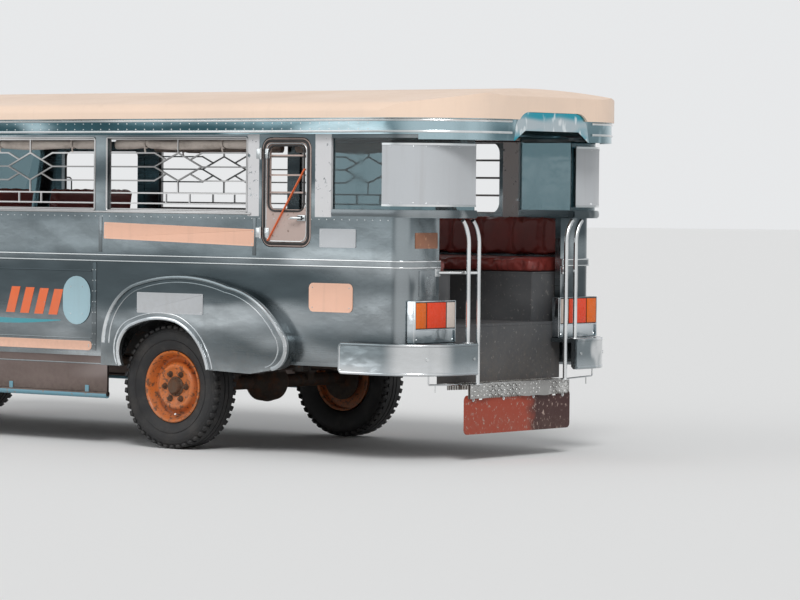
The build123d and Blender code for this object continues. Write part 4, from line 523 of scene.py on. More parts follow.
@dataclass(frozen=True)
class Cloth(Finish):
    """Canvas with threads, damp stains and a soft sheen.

    Args:
        stain: tone of the stains.
    """

    stain: Tone = (0.09, 0.07, 0.055)

    def draw(self, graph: Surface) -> None:
        """Woven cloth, stained in patches."""
        graph.put(Sheen_Weight=0.25, Sheen_Roughness=0.6)
        threads = WEAVE.use(graph, Scale=180.0)
        stains = graph.step(graph.noise(graph.place((1, 1, 2)), 8.0, 6.0, 0.65), 0.42, 0.72)
        colour = graph.mix(graph.times(stains, 0.7), self.tone, self.stain)
        colour = graph.mix(graph.times(threads, 0.3), colour, tuple(0.6 * c for c in self.tone))
        graph.put(Base_Color=colour, Roughness=graph.blend(stains, self.rough, 0.98))
        graph.raise_bumps((threads, 0.5, 0.0007), (graph.noise(graph.place(), 30.0, 4.0), 0.3, 0.004))


@dataclass(frozen=True)
class Vinyl(Finish):
    """Seat vinyl with grain, creases and worn, duller tops."""

    def draw(self, graph: Surface) -> None:
        """Grained cover, a little lighter where it is rubbed."""
        graph.put(Coat_Weight=0.15, Coat_Roughness=0.35)
        rubbed = graph.step(graph.noise(graph.place((1, 1, 1)), 5.0, 5.0, 0.6), 0.4, 0.75)
        creases = graph.step(graph.noise(graph.place((3.0, 1.0, 1.0)), 12.0, 2.0, 0.4), 0.48, 0.52)
        lighter = tuple(min(1.0, c * 1.5 + 0.02) for c in self.tone)
        grain = GRAIN.use(graph, Scale=420.0)
        graph.put(
            Base_Color=graph.mix(graph.times(rubbed, 0.7), self.tone, lighter),
            Roughness=graph.blend(rubbed, self.rough, self.rough + 0.22),
        )
        graph.raise_bumps((grain, 0.4, 0.0006), (creases, 0.15, 0.002))


@dataclass(frozen=True)
class Clear(Finish):
    """Clear sheet, rippled and a little scratched.

    Args:
        ripple: depth of the ripples in metres.
    """

    ripple: float = 0.006

    def draw(self, graph: Surface) -> None:
        """Transparent sheet with uneven gloss."""
        graph.put(Transmission_Weight=1.0, IOR=1.35)
        smears = graph.step(graph.noise(graph.place((1, 1, 0.4)), 9.0, 5.0, 0.6), 0.45, 0.8)
        graph.put(Roughness=graph.blend(smears, self.rough, self.rough + 0.16))
        graph.raise_bumps((graph.noise(graph.place((1, 1, 0.3)), 7.0, 2.0), 0.4, self.ripple))


@dataclass(frozen=True)
class LampLens(Finish):
    """Moulded lens with fine upright ribs behind a clear skin.

    Args:
        pitch: scale of the ribs; larger is finer.
    """

    pitch: float = 60.0

    def draw(self, graph: Surface) -> None:
        """Ribbed plastic with a wet gloss."""
        graph.put(Coat_Weight=0.12, Coat_Roughness=0.08, Specular_IOR_Level=0.25)
        ribs = graph.add(
            "ShaderNodeTexWave", {0: graph.place(), "Scale": self.pitch}, bands_direction="Y"
        ).outputs[1]
        shade = tuple(0.45 * c for c in self.tone)
        dull = graph.step(graph.noise(graph.place(), 24.0, 4.0), 0.4, 0.8)
        graph.put(
            Base_Color=graph.mix(graph.times(ribs, 0.5), self.tone, shade),
            Roughness=graph.blend(dull, self.rough, self.rough + 0.2),
        )
        graph.raise_bumps((ribs, 0.5, 0.002))


@dataclass(frozen=True)
class TreadPlate(Finish):
    """Steel tread plate with raised lozenges, rubbed bright on their tops."""

    def draw(self, graph: Surface) -> None:
        """Lozenges over dull, dirty steel."""
        graph.put(Metallic=0.85)
        raised = CHEQUER.use(graph, Scale=11.0)
        dirt = graph.step(graph.noise(graph.place(), 18.0, 6.0, 0.7), 0.4, 0.75)
        colour = graph.mix(raised, (0.12, 0.105, 0.095), self.tone)
        colour = graph.mix(graph.times(dirt, 0.45), colour, ROAD_DUST)
        graph.put(Base_Color=colour, Roughness=graph.blend(raised, 0.7, self.rough))
        graph.raise_bumps((raised, 0.8, 0.003))


@dataclass(frozen=True)
class PillaredBand(SheetSteel):
    """Bright sheet whose pillars are painted pale.

    Args:
        paint: tone of the painted pillars.
        pillars: start and end of each painted stretch along X.
    """

    paint: Tone = (0.62, 0.62, 0.63)
    pillars: tuple[tuple[float, float], ...] = ()

    def draw(self, graph: Surface) -> None:
        """Sheet as ever, with paint laid over the pillars."""
        super().draw(graph)
        mask: bpy.types.NodeSocket | float = 0.0
        for low, high in self.pillars:
            mask = graph.math("MAXIMUM", mask, graph.within(Axis.X, low, high))
        mask = graph.times(mask, graph.within(Axis.Z, BAND_Z, WINDOW_TOP_Z + 0.02))
        chips = WEAR.use(graph, Scale=26.0, Amount=0.4)
        painted = graph.times(mask, graph.inverse(chips))
        links = {
            name: graph.shader.inputs[name].links[0].from_socket
            for name in ("Base Color", "Roughness", "Metallic")
        }
        graph.put(
            Base_Color=graph.mix(painted, links["Base Color"], self.paint),
            Roughness=graph.math("MAXIMUM", links["Roughness"], graph.times(painted, 0.45)),
            Metallic=graph.times(links["Metallic"], graph.inverse(painted)),
        )


@dataclass(frozen=True)
class SplitBoard(Finish):
    """Painted board whose parts have two tones, with a worn border between them.

    Args:
        other: tone of the second part.
        split: Y at which the tone changes.
    """

    other: Tone = (0.05, 0.02, 0.015)
    split: float = 0.0

    def draw(self, graph: Surface) -> None:
        """Two tones under scratches and mud."""
        graph.put(Specular_IOR_Level=0.25)
        wander = graph.times(graph.noise(graph.place(), 16.0, 4.0), 0.14)
        side = graph.step(graph.math("ADD", graph.axis(Axis.Y), wander), self.split, self.split + 0.12)
        colour = graph.mix(side, self.other, self.tone)
        scratches = WEAR.use(graph, Scale=40.0, Amount=0.42)
        colour = graph.mix(scratches, colour, (0.4, 0.3, 0.26))
        mud = GRIME.use(graph, Bottom=0.1, Top=0.5, Break=0.25)
        graph.put(
            Base_Color=graph.mix(graph.times(mud, 0.35), colour, ROAD_DUST),
            Roughness=graph.blend(scratches, self.rough, 0.8),
        )
        graph.raise_bumps((scratches, 0.3, 0.0006), (DENTS.use(graph, Scale=7.0), 0.3, 0.008))


# In every SheetSteel finish the dark colour paints darker reflection bands and the glints paint highlights.
# Side sheet: its low, slightly teal tone is also a painted reflection of the surroundings.
STAINLESS = SheetSteel(
    "stainless_panel", (0.205, 0.23, 0.242), 0.15, dark=(0.06, 0.077, 0.085), brushed=0.1, glints=0.42
)
BUMPER = SheetSteel(
    "bumper_chrome", (0.66, 0.71, 0.74), 0.1, dark=(0.2, 0.235, 0.25), dent_scale=9.0, dent_depth=0.012,
    dirt_top=0.62, brushed=0.08,
)
CHROME = SheetSteel(
    "grille_chrome", (0.7, 0.73, 0.74), 0.12, dark=(0.4, 0.43, 0.44), dent_depth=0.0, dirt_top=0.6,
    brushed=0.05,
)
# Rear valance: its turquoise dark patches and pale patches are a painted reflection.
MIRROR = SheetSteel(
    "mirror_steel", (0.46, 0.53, 0.56), 0.06, dark=(0.04, 0.33, 0.42), sheen_scale=4.5, dent_scale=4.0,
    dent_depth=0.012, dirt_top=0.5, brushed=0.02,
)
WINDOW_BAND = PillaredBand(
    "window_paint", (0.2, 0.235, 0.25), 0.15, dark=(0.06, 0.08, 0.09), brushed=0.1, glints=0.4, pillars=(
        (-1.697, -1.611), (-2.252, -2.133)
    )
)
PEACH = Paint(
    "roof_peach", (0.87, 0.67, 0.53), 0.42, under=(0.55, 0.42, 0.33), chips=0.27, dirt_top=1.2, gloss=0.12,
    streaked=0.05,
)
DOOR_PAINT = Paint("door_paint", (0.47, 0.36, 0.32), 0.45, under=(0.22, 0.16, 0.13), chips=0.4, dirt_top=1.4)
FRAME_BLACK = Paint(
    "chassis_black", (0.022, 0.02, 0.019), 0.6, under=RUST, chips=0.42, dirt_top=0.8, gloss=0.0
)
FLOOR_GREY = Paint(
    "floor_paint", (0.066, 0.068, 0.072), 0.55, under=(0.2, 0.19, 0.18), chips=0.4, dirt_top=0.95, gloss=0.0
)
DASH = Paint("dash_paint", (0.17, 0.17, 0.175), 0.5, chips=0.3, dirt_top=0.9)
ORANGE = Paint("rim_orange", (0.6, 0.15, 0.02), 0.4, under=RUST, chips=0.47, dirt_top=0.75, gloss=0.2)
STRIPE_ORANGE = Paint(
    "stripe_orange", (0.78, 0.13, 0.02), 0.3, under=(0.4, 0.3, 0.26), chips=0.36, dirt_top=0.7, gloss=0.3
)
STRIPE_TEAL = Paint(
    "stripe_teal", (0.03, 0.3, 0.36), 0.3, under=(0.3, 0.3, 0.3), chips=0.36, dirt_top=0.7, gloss=0.3
)
SIGN_WHITE = Paint(
    "sign_white", (0.48, 0.5, 0.52), 0.35, under=(0.42, 0.38, 0.34), chips=0.3, dirt_top=1.2, gloss=0.2
)
SIGN_PEACH = Paint(
    "sign_peach", (0.85, 0.5, 0.36), 0.35, under=(0.5, 0.4, 0.35), chips=0.33, dirt_top=0.9, gloss=0.2
)
SIGN_RUST = Paint("sign_rust", (0.3, 0.12, 0.06), 0.45, under=(0.55, 0.3, 0.18), chips=0.42, dirt_top=1.3)
TUBE_BLUE = Paint("tube_blue", (0.13, 0.3, 0.38), 0.4, under=(0.25, 0.22, 0.2), chips=0.42, dirt_top=0.5)
CANVAS = Cloth("canvas", (0.64, 0.56, 0.5), 0.85, stain=(0.3, 0.25, 0.21))
SEAT_VINYL = Vinyl("seat_vinyl", (0.2, 0.032, 0.026), 0.38)
# Clear panes: the dark blue-green tint is partly the glass's own tint and partly painted shade of the dark
# inside seen through it.
CLEAR_SHEET = Clear("clear_pane", (0.13, 0.21, 0.235), 0.03)
LAMP_GLASS = Clear("lamp_glass", (0.92, 0.93, 0.9), 0.04, ripple=0.02)
LENS_RED = LampLens("lamp_red", (0.95, 0.06, 0.006), 0.25)
LENS_AMBER = LampLens("lamp_amber", (0.9, 0.16, 0.004), 0.25)
LENS_WHITE = LampLens("lamp_white", (0.82, 0.7, 0.62), 0.18)
LIP_STEEL = SheetSteel(
    "lip_steel", (0.42, 0.42, 0.41), 0.28, dark=(0.16, 0.15, 0.145), dent_scale=8.0, dirt_top=0.6
)
SKIRT_STEEL = SheetSteel(
    "skirt_steel", (0.155, 0.12, 0.112), 0.26, dark=(0.065, 0.047, 0.042), dirt_top=0.8, glints=0.25
)
ROD_STEEL = SheetSteel(
    "rod_steel", (0.48, 0.48, 0.48), 0.22, dark=(0.2, 0.2, 0.2), dent_depth=0.0, glints=0.4
)
# Roof fascia: its dark teal tones and strong glints are a painted reflection with painted highlights.
FASCIA_STEEL = SheetSteel(
    "fascia_steel", (0.19, 0.29, 0.325), 0.12, dark=(0.028, 0.068, 0.082), brushed=0.08, sheen_scale=1.7,
    glints=0.8,
)
ENGINE_PAINT = Paint(
    "engine_paint", (0.06, 0.14, 0.13), 0.4, under=(0.12, 0.1, 0.09), chips=0.42, dirt_top=1.3, gloss=0.1
)
SIGN_BLUE = Paint(
    "sign_blue", (0.33, 0.5, 0.56), 0.35, under=(0.5, 0.42, 0.36), chips=0.33, dirt_top=0.9, gloss=0.2
)
STEP_PLATE = TreadPlate("step_steel", (0.45, 0.44, 0.42), 0.35)
MUD = SplitBoard("mud_paint", (0.33, 0.052, 0.026), 0.42, other=(0.05, 0.017, 0.016), split=-0.12)
TYRE = Rubber("tyre_rubber", (0.012, 0.012, 0.013), 0.6, dust=0.28)
SEAL = Rubber("black_seal", (0.015, 0.015, 0.016), 0.5, dust=0.25)
WHEEL_PLASTIC = Rubber("wheel_plastic", (0.02, 0.02, 0.021), 0.4, dust=0.2)
HUB_IRON = OldIron("hub_iron", (0.09, 0.055, 0.035), 0.7, rust=0.8)
AXLE_IRON = OldIron("axle_rust", (0.05, 0.037, 0.03), 0.75, rust=0.6)
ENGINE_IRON = OldIron("engine_iron", (0.06, 0.056, 0.052), 0.6, rust=0.2)
EXHAUST = OldIron("exhaust_steel", (0.14, 0.11, 0.09), 0.55, rust=0.6)
SPRINGS = OldIron("spring_steel", (0.055, 0.042, 0.036), 0.6, rust=0.4)
MIRROR_GLASS = SheetSteel(
    "mirror_glass", (0.8, 0.82, 0.83), 0.03, dark=(0.74, 0.76, 0.77), dent_depth=0.0, dirt_top=0.5,
    brushed=0.0,
)

FINISHED_NODES: dict[Finish, str] = {
    FRAME_BLACK: "chassis_frame fuel_tank",
    ENGINE_IRON: "engine_block",
    EXHAUST: "exhaust",
    AXLE_IRON: "rear_axle front_axle knuckle_left knuckle_right tie_rod",
    SPRINGS: "leaf_springs",
    FLOOR_GREY: "floor_pan seat_bases",
    STAINLESS: "side_panels cab_front front_door_left front_door_right hood front_fenders rear_fenders",
    WINDOW_BAND: "window_walls",
    ROD_STEEL: "window_grilles",
    CLEAR_SHEET: "clear_panes",
    DASH: "dashboard",
    WHEEL_PLASTIC: "steering_wheel",
    PEACH: "roof_shell",
    FASCIA_STEEL: "roof_fascia",
    MIRROR: "rear_valance",
    DOOR_PAINT: "emergency_door",
    CHROME: "nose_grille tail_lamps handrails",
    LAMP_GLASS: "headlamps",
    BUMPER: "bumpers",
    STEP_PLATE: "rear_step",
    MUD: "mud_board",
    SKIRT_STEEL: "side_skirts",
    MIRROR_GLASS: "mirrors",
    SEAT_VINYL: "bench_cushions bench_backs cab_seat_pads",
    CANVAS: "rolled_curtains",
    TYRE: "tyre",
    ORANGE: "wheel",
}
CAD_FINISHES = {name: finish for finish, names in FINISHED_NODES.items() for name in names.split()}


# Mesh helpers
def pipe_rings(points: Sequence[Vector], radius: float, sides: int = 10) -> list[Ring]:
    """Rings of a pipe along a line of points, square to the line at each."""
    rings: list[Ring] = []
    normal: Vector | None = None
    for index, point in enumerate(points):
        ahead = points[min(index + 1, len(points) - 1)] - points[max(index - 1, 0)]
        ahead = ahead.normalized()
        normal = normal - ahead * normal.dot(ahead) if normal else ahead.orthogonal()
        normal.normalize()
        side = ahead.cross(normal)
        rings.append(
            [
                point + (normal * math.cos(a) + side * math.sin(a)) * radius
                for a in (2 * math.pi * k / sides for k in range(sides))
            ]
        )
    return rings


def rounded_path(corners: Sequence[Point], radius: float, steps: int = 6) -> list[Vector]:
    """Line through corners that are rounded by short curves."""
    spots = [Vector(c) for c in corners]
    path = [spots[0]]
    for before, corner, after in zip(spots, spots[1:], spots[2:]):
        back = (before - corner).normalized() * min(radius, (before - corner).length / 2)
        ahead = (after - corner).normalized() * min(radius, (after - corner).length / 2)
        start, end = corner + back, corner + ahead
        path += [
            start.lerp(corner, t).lerp(corner.lerp(end, t), t) for t in (k / steps for k in range(steps + 1))
        ]
    return path + [spots[-1]]


def oblong(near: float, far: float, low: float, high: float) -> list[tuple[float, float]]:
    """Corners of an oblong section."""
    return [(near, low), (far, low), (far, high), (near, high)]


def upright(first: Point, last: Point) -> list[Point]:
    """Corners of an upright rectangle between two opposite corners."""
    return [first, (last[0], last[1], first[2]), last, (first[0], first[1], last[2])]


def arc_through(first: Vector, middle: Vector, last: Vector, steps: int) -> list[Vector]:
    """Points of the arc through three points in the XZ plane."""
    ax, az, bx, bz, cx, cz = first.x, first.z, middle.x, middle.z, last.x, last.z
    scale = 2 * (ax * (bz - cz) + bx * (cz - az) + cx * (az - bz))
    a2, b2, c2 = ax * ax + az * az, bx * bx + bz * bz, cx * cx + cz * cz
    x = (a2 * (bz - cz) + b2 * (cz - az) + c2 * (az - bz)) / scale
    z = (a2 * (cx - bx) + b2 * (ax - cx) + c2 * (bx - ax)) / scale
    centre = Vector((x, first.y, z))
    start, end = first - centre, last - centre
    sweep = math.atan2(start.z * end.x - start.x * end.z, start.x * end.x + start.z * end.z)
    return [centre + Matrix.Rotation(sweep * k / steps, 3, "Y") @ start for k in range(steps + 1)]


def plan_path(
    rear_x: float, half: float, corner: float, start_x: float, end_y: float, side: Side, steps: int = 14
) -> list[Vector]:
    """Plan line along a side, round the rear corner and in towards the middle.

    Args:
        rear_x: X of the rear face.
        half: Y of the side face.
        corner: radius between them.
        start_x: where the line starts on the side.
        end_y: where it ends on the rear face.
        side: side of the vehicle.
        steps: points round the corner.

    Returns:
        Points at Z 0.
    """
    middle = Vector((rear_x + corner, half - corner, 0.0))
    path = [Vector((start_x, half, 0.0))] if start_x > middle.x + 1e-6 else []
    for k in range(steps + 1):
        angle = math.pi / 2 * (1 + k / steps)
        spot = middle + Vector((math.cos(angle), math.sin(angle), 0.0)) * corner
        if spot.y >= end_y and spot.x <= start_x:
            path.append(spot)
    if end_y < middle.y:
        path.append(Vector((rear_x, end_y, 0.0)))
    return [Vector((p.x, p.y * side.value, p.z)) for p in path]


def outward(path: Sequence[Vector], index: int, side: Side) -> Vector:
    """Direction that points out of the body at a point of a plan line."""
    ahead = (path[min(index + 1, len(path) - 1)] - path[max(index - 1, 0)]).normalized()
    return Vector((ahead.y, -ahead.x, 0.0)) * side.value


@dataclass
class Shape:
    """Mesh in the making.

    Args:
        bm: the mesh.
    """

    bm: bmesh.types.BMesh = field(default_factory=bmesh.new, kw_only=True)

    def loft(self, rings: Sequence[Sequence[Vector]], closed: bool = True, caps: bool = True) -> None:
        """Bridge a row of rings.

        Args:
            rings: the rings' points, with the same number in each.
            closed: whether each ring is a loop.
            caps: whether the first and last ring get a face.
        """
        previous: list = []
        ends: list = []
        for index, ring in enumerate(rings):
            verts = [self.bm.verts.new(point) for point in ring]
            pairs = list(zip(verts, verts[1:] + verts[:1]))
            edges = [self.bm.edges.new(pair) for pair in (pairs if closed else pairs[:-1])]
            if previous:
                bmesh.ops.bridge_loops(self.bm, edges=previous + edges)
            if caps and closed and index in (0, len(rings) - 1):
                ends.append(verts)
            previous = edges
        for verts in ends:
            self.bm.faces.new(verts)

    def block(
        self, centre: Point, size: Point, edge: float = 0.0, turn: Matrix | None = None, segments: int = 2,
        along: Axis | None = None,
    ) -> None:
        """Add a box with rounded edges.

        Args:
            centre: middle of the box.
            size: lengths along X, Y and Z.
            edge: radius of the edges; 0 leaves them sharp.
            turn: rotation about the box's middle.
            segments: steps of the rounding.
            along: axis of the edges that are rounded; without it, all are.
        """
        verts = bmesh.ops.create_cube(self.bm, size=1.0, matrix=Matrix.Diagonal((*size, 1.0)))["verts"]
        if edge:
            edges = list({e for v in verts for e in v.link_edges})
            if along:
                edges = [e for e in edges if abs((e.verts[0].co - e.verts[1].co)[along.value]) > 1e-6]
            made = bmesh.ops.bevel(
                self.bm, geom=edges, offset=edge, segments=segments, profile=0.5, affect="EDGES", material=-1
            )
            verts = list({v for v in made["verts"]} | {v for v in verts if v.is_valid})
        place = Matrix.Translation(centre) @ (turn.to_4x4() if turn else Matrix.Identity(4))
        bmesh.ops.transform(self.bm, matrix=place, verts=verts)

    def plate(
        self, centre: Point, size: Point, corner: float, thin: Axis, turn: Matrix | None = None
    ) -> None:
        """Add a flat plate with rounded corners.

        Args:
            centre: middle of the plate.
            size: lengths along X, Y and Z.
            corner: radius of the corners.
            thin: axis through the plate's thickness.
            turn: rotation about the plate's middle.
        """
        self.block(centre, size, corner, turn, 6, thin)

    def turned(
        self, profile: Sequence[tuple[float, float]], centre: Point, out: Vector, steps: int = 48
    ) -> None:
        """Spin a profile into a turned shape.

        Args:
            profile: distance along the axis and radius of each point.
            centre: the axis's origin.
            out: direction of the axis.
            steps: number of steps round.
        """
        out = out.normalized()
        across = out.orthogonal().normalized()
        origin = Vector(centre)
        verts = [
            self.bm.verts.new(origin + out * along + across * max(radius, 0.0)) for along, radius in profile
        ]
        edges = [self.bm.edges.new(pair) for pair in zip(verts, verts[1:])]
        bmesh.ops.spin(
            self.bm, geom=verts + edges, cent=origin, axis=out, angle=2 * math.pi, steps=steps,
            use_merge=True, use_duplicate=False,
        )
        bmesh.ops.remove_doubles(self.bm, verts=self.bm.verts, dist=1e-5)

    def drum(self, centre: Vector, out: Vector, radii: tuple[float, float], depth: float, sides: int) -> None:
        """Add a drum or a cone frustum whose axis points along a direction."""
        place = Matrix.Translation(centre) @ out.to_track_quat("Z", "Y").to_matrix().to_4x4()
        low, high = radii
        bmesh.ops.create_cone(
            self.bm, cap_ends=True, segments=sides, radius1=low, radius2=high, depth=depth, matrix=place
        )

    def bar(self, start: Point, end: Point, radius: float, sides: int = 12) -> None:
        """Add a straight round bar between two points."""
        first, last = Vector(start), Vector(end)
        self.drum((first + last) / 2, last - first, (radius, radius), (last - first).length, sides)

    def bolt(self, place: Point, out: Vector, radius: float, height: float, sides: int = 6) -> None:
        """Add a bolt head or a nut that stands out from a surface."""
        out = out.normalized()
        self.drum(Vector(place) + out * height / 2, out, (radius, radius * 0.86), height, sides)

    def rivet(self, place: Point, out: Vector, radius: float = 0.006) -> None:
        """Add a domed rivet head."""
        out = out.normalized()
        for rise, low, high in ((0.12, 1.0, 0.8), (0.36, 0.8, 0.3)):
            self.drum(
                Vector(place) + out * radius * rise, out, (radius * low, radius * high), radius * 0.3, 8
            )

    def rail(self, path: Sequence[Vector], section: Sequence[tuple[float, float]], side: Side) -> None:
        """Loft a section along a plan line.

        Args:
            path: plan line.
            section: distance out of the line and height of each point.
            side: side of the vehicle.
        """
        rings = [
            [p + outward(path, i, side) * out + Vector((0, 0, z)) for out, z in section]
            for i, p in enumerate(path)
        ]
        self.loft(rings)

    def pipe(self, path: Sequence[Vector], radius: float, sides: int = 8) -> None:
        """Add a pipe along a line of points."""
        self.loft(pipe_rings(path, radius, sides))

    def hoop(
        self, corners: Sequence[Point], corner: float, steps: int, radius: float, sides: int = 8,
        start: Point | None = None,
    ) -> None:
        """Add a pipe that closes on itself.

        Args:
            corners: its corners.
            corner: radius of their rounding.
            steps: steps of their rounding.
            radius: radius of the pipe.
            sides: number of its sides.
            start: where it starts; halfway between the last corner and the first unless it is given.
        """
        seam = start or (Vector(corners[-1]) + Vector(corners[0])) / 2
        path = rounded_path([seam, *corners, seam], corner, steps)
        self.loft(pipe_rings(path, radius, sides), caps=False)

    def mesh(self, name: str) -> bpy.types.Mesh:
        """Return the finished mesh; nothing more can be added to the shape."""
        mesh = bpy.data.meshes.new(name)
        self.bm.to_mesh(mesh)
        self.bm.free()
        return mesh


@dataclass
class Piece(Shape):
    """One new piece of the model: a mesh with its finish and body.

    Args:
        name: name of the object.
        finish: its finish; chrome unless another is named.
        slot: material slot of the record; not used.
        body: body that it rides on.
        crease: angle in degrees above which an edge stays sharp.
    """

    name: str
    finish: Finish = CHROME
    slot: str = "grille_chrome"
    body: str = "body"
    crease: float = 38.0

    def done(self, replaces: Sequence[str] = ()) -> bpy.types.Object:
        """Make the object.

        Args:
            replaces: CAD nodes that the piece stands for.

        Returns:
            The finished object.
        """
        bmesh.ops.recalc_face_normals(self.bm, faces=self.bm.faces)
        mesh = self.mesh(self.name)
        mesh.shade_smooth()
        mesh.set_sharp_from_angle(angle=math.radians(self.crease))
        mesh.materials.append(self.finish.material())
        piece = bpy.data.objects.new(self.name, mesh)
        bpy.context.scene.collection.objects.link(piece)
        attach(piece, self.body)
        if replaces:
            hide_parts(*replaces)
        log.info("%s: %d faces", self.name, len(mesh.polygons))
        return piece


# Studio
@dataclass
class Studio:
    """Camera, floor and plain soft light.

    Args:
        camera_at: place of the camera.
        azimuth: direction that the camera looks from, in degrees.
        drop: how far it looks down, in degrees.
        roll: how far it is rolled, in degrees.
        lens: focal length in millimetres.
    """

    camera_at: Point = (-16.055, 17.95, 1.58)
    azimuth: float = 218.0
    drop: float = 1.66
    roll: float = 0.54
    lens: float = 167.85

    def add_camera(self) -> None:
        """Set the camera to the photograph's view."""
        turn, drop, roll = (math.radians(a) for a in (self.azimuth, self.drop, self.roll))
        back = Vector((math.sin(turn) * math.cos(drop), -math.cos(turn) * math.cos(drop), math.sin(drop)))
        right = (-back).cross(UP).normalized()
        up = right.cross(-back)
        right, up = right * math.cos(roll) + up * math.sin(roll), up * math.cos(roll) - right * math.sin(roll)
        data = bpy.data.cameras.new("camera")
        data.lens, data.sensor_width, data.sensor_fit = self.lens, 36.0, "HORIZONTAL"
        data.clip_end = 400.0
        camera = bpy.data.objects.new("camera", data)
        bpy.context.scene.collection.objects.link(camera)
        turned = Matrix((right, up, back)).transposed().to_4x4()
        camera.matrix_world = Matrix.Translation(self.camera_at) @ turned
        bpy.context.scene.camera = camera

    def add_floor(self) -> None:
        """Lay a wide pale floor."""
        disc = Shape()
        bmesh.ops.create_circle(disc.bm, cap_ends=True, radius=150.0, segments=96)
        mesh = disc.mesh("floor")
        material = bpy.data.materials.new("floor_pale")
        material.use_nodes = True
        Surface(material.node_tree).put(Base_Color=(0.84, 0.84, 0.835, 1.0), Roughness=0.9)
        mesh.materials.append(material)
        floor = bpy.data.objects.new("floor", mesh)
        bpy.context.scene.collection.objects.link(floor)

    def add_sun(self, name: str, place: Point, spread: float, strength: float) -> None:
        """Light the vehicle evenly from one direction.

        Args:
            name: name of the lamp.
            place: a point towards the light.
            spread: width of the light, in degrees.
            strength: its strength.
        """
        data = bpy.data.lights.new(name, "SUN")
        data.angle, data.energy = math.radians(spread), strength
        lamp = bpy.data.objects.new(name, data)
        bpy.context.scene.collection.objects.link(lamp)
        lamp.matrix_world = (-Vector(place)).to_track_quat("-Z", "Y").to_matrix().to_4x4()

    def add_sky(self) -> None:
        """Give the world a pale background and a softer light."""
        world = bpy.data.worlds.new("studio")
        world.use_nodes = True
        bpy.context.scene.world = world
        graph = Graph(world.node_tree)
        path = graph.add("ShaderNodeLightPath")
        shown = graph.math(
            "MAXIMUM", path.outputs["Is Camera Ray"],
            graph.math("MAXIMUM", path.outputs["Is Glossy Ray"], path.outputs["Is Transmission Ray"]),
        )
        strength = graph.blend(shown, 0.58, 1.0)
        back = world.node_tree.nodes["Background"]
        back.inputs["Color"].default_value = (0.8, 0.81, 0.82, 1.0)
        graph.tree.links.new(strength, back.inputs["Strength"])

    def build(self) -> None:
        """Set up the whole studio."""
        self.add_camera()
        self.add_floor()
        self.add_sky()
        self.add_sun("key", (-7.0, 7.6, 9.0), 20.0, 1.65)
        self.add_sun("fill", (7.0, 9.0, 4.0), 40.0, 0.4)
        bpy.context.scene.view_settings.view_transform = "Standard"


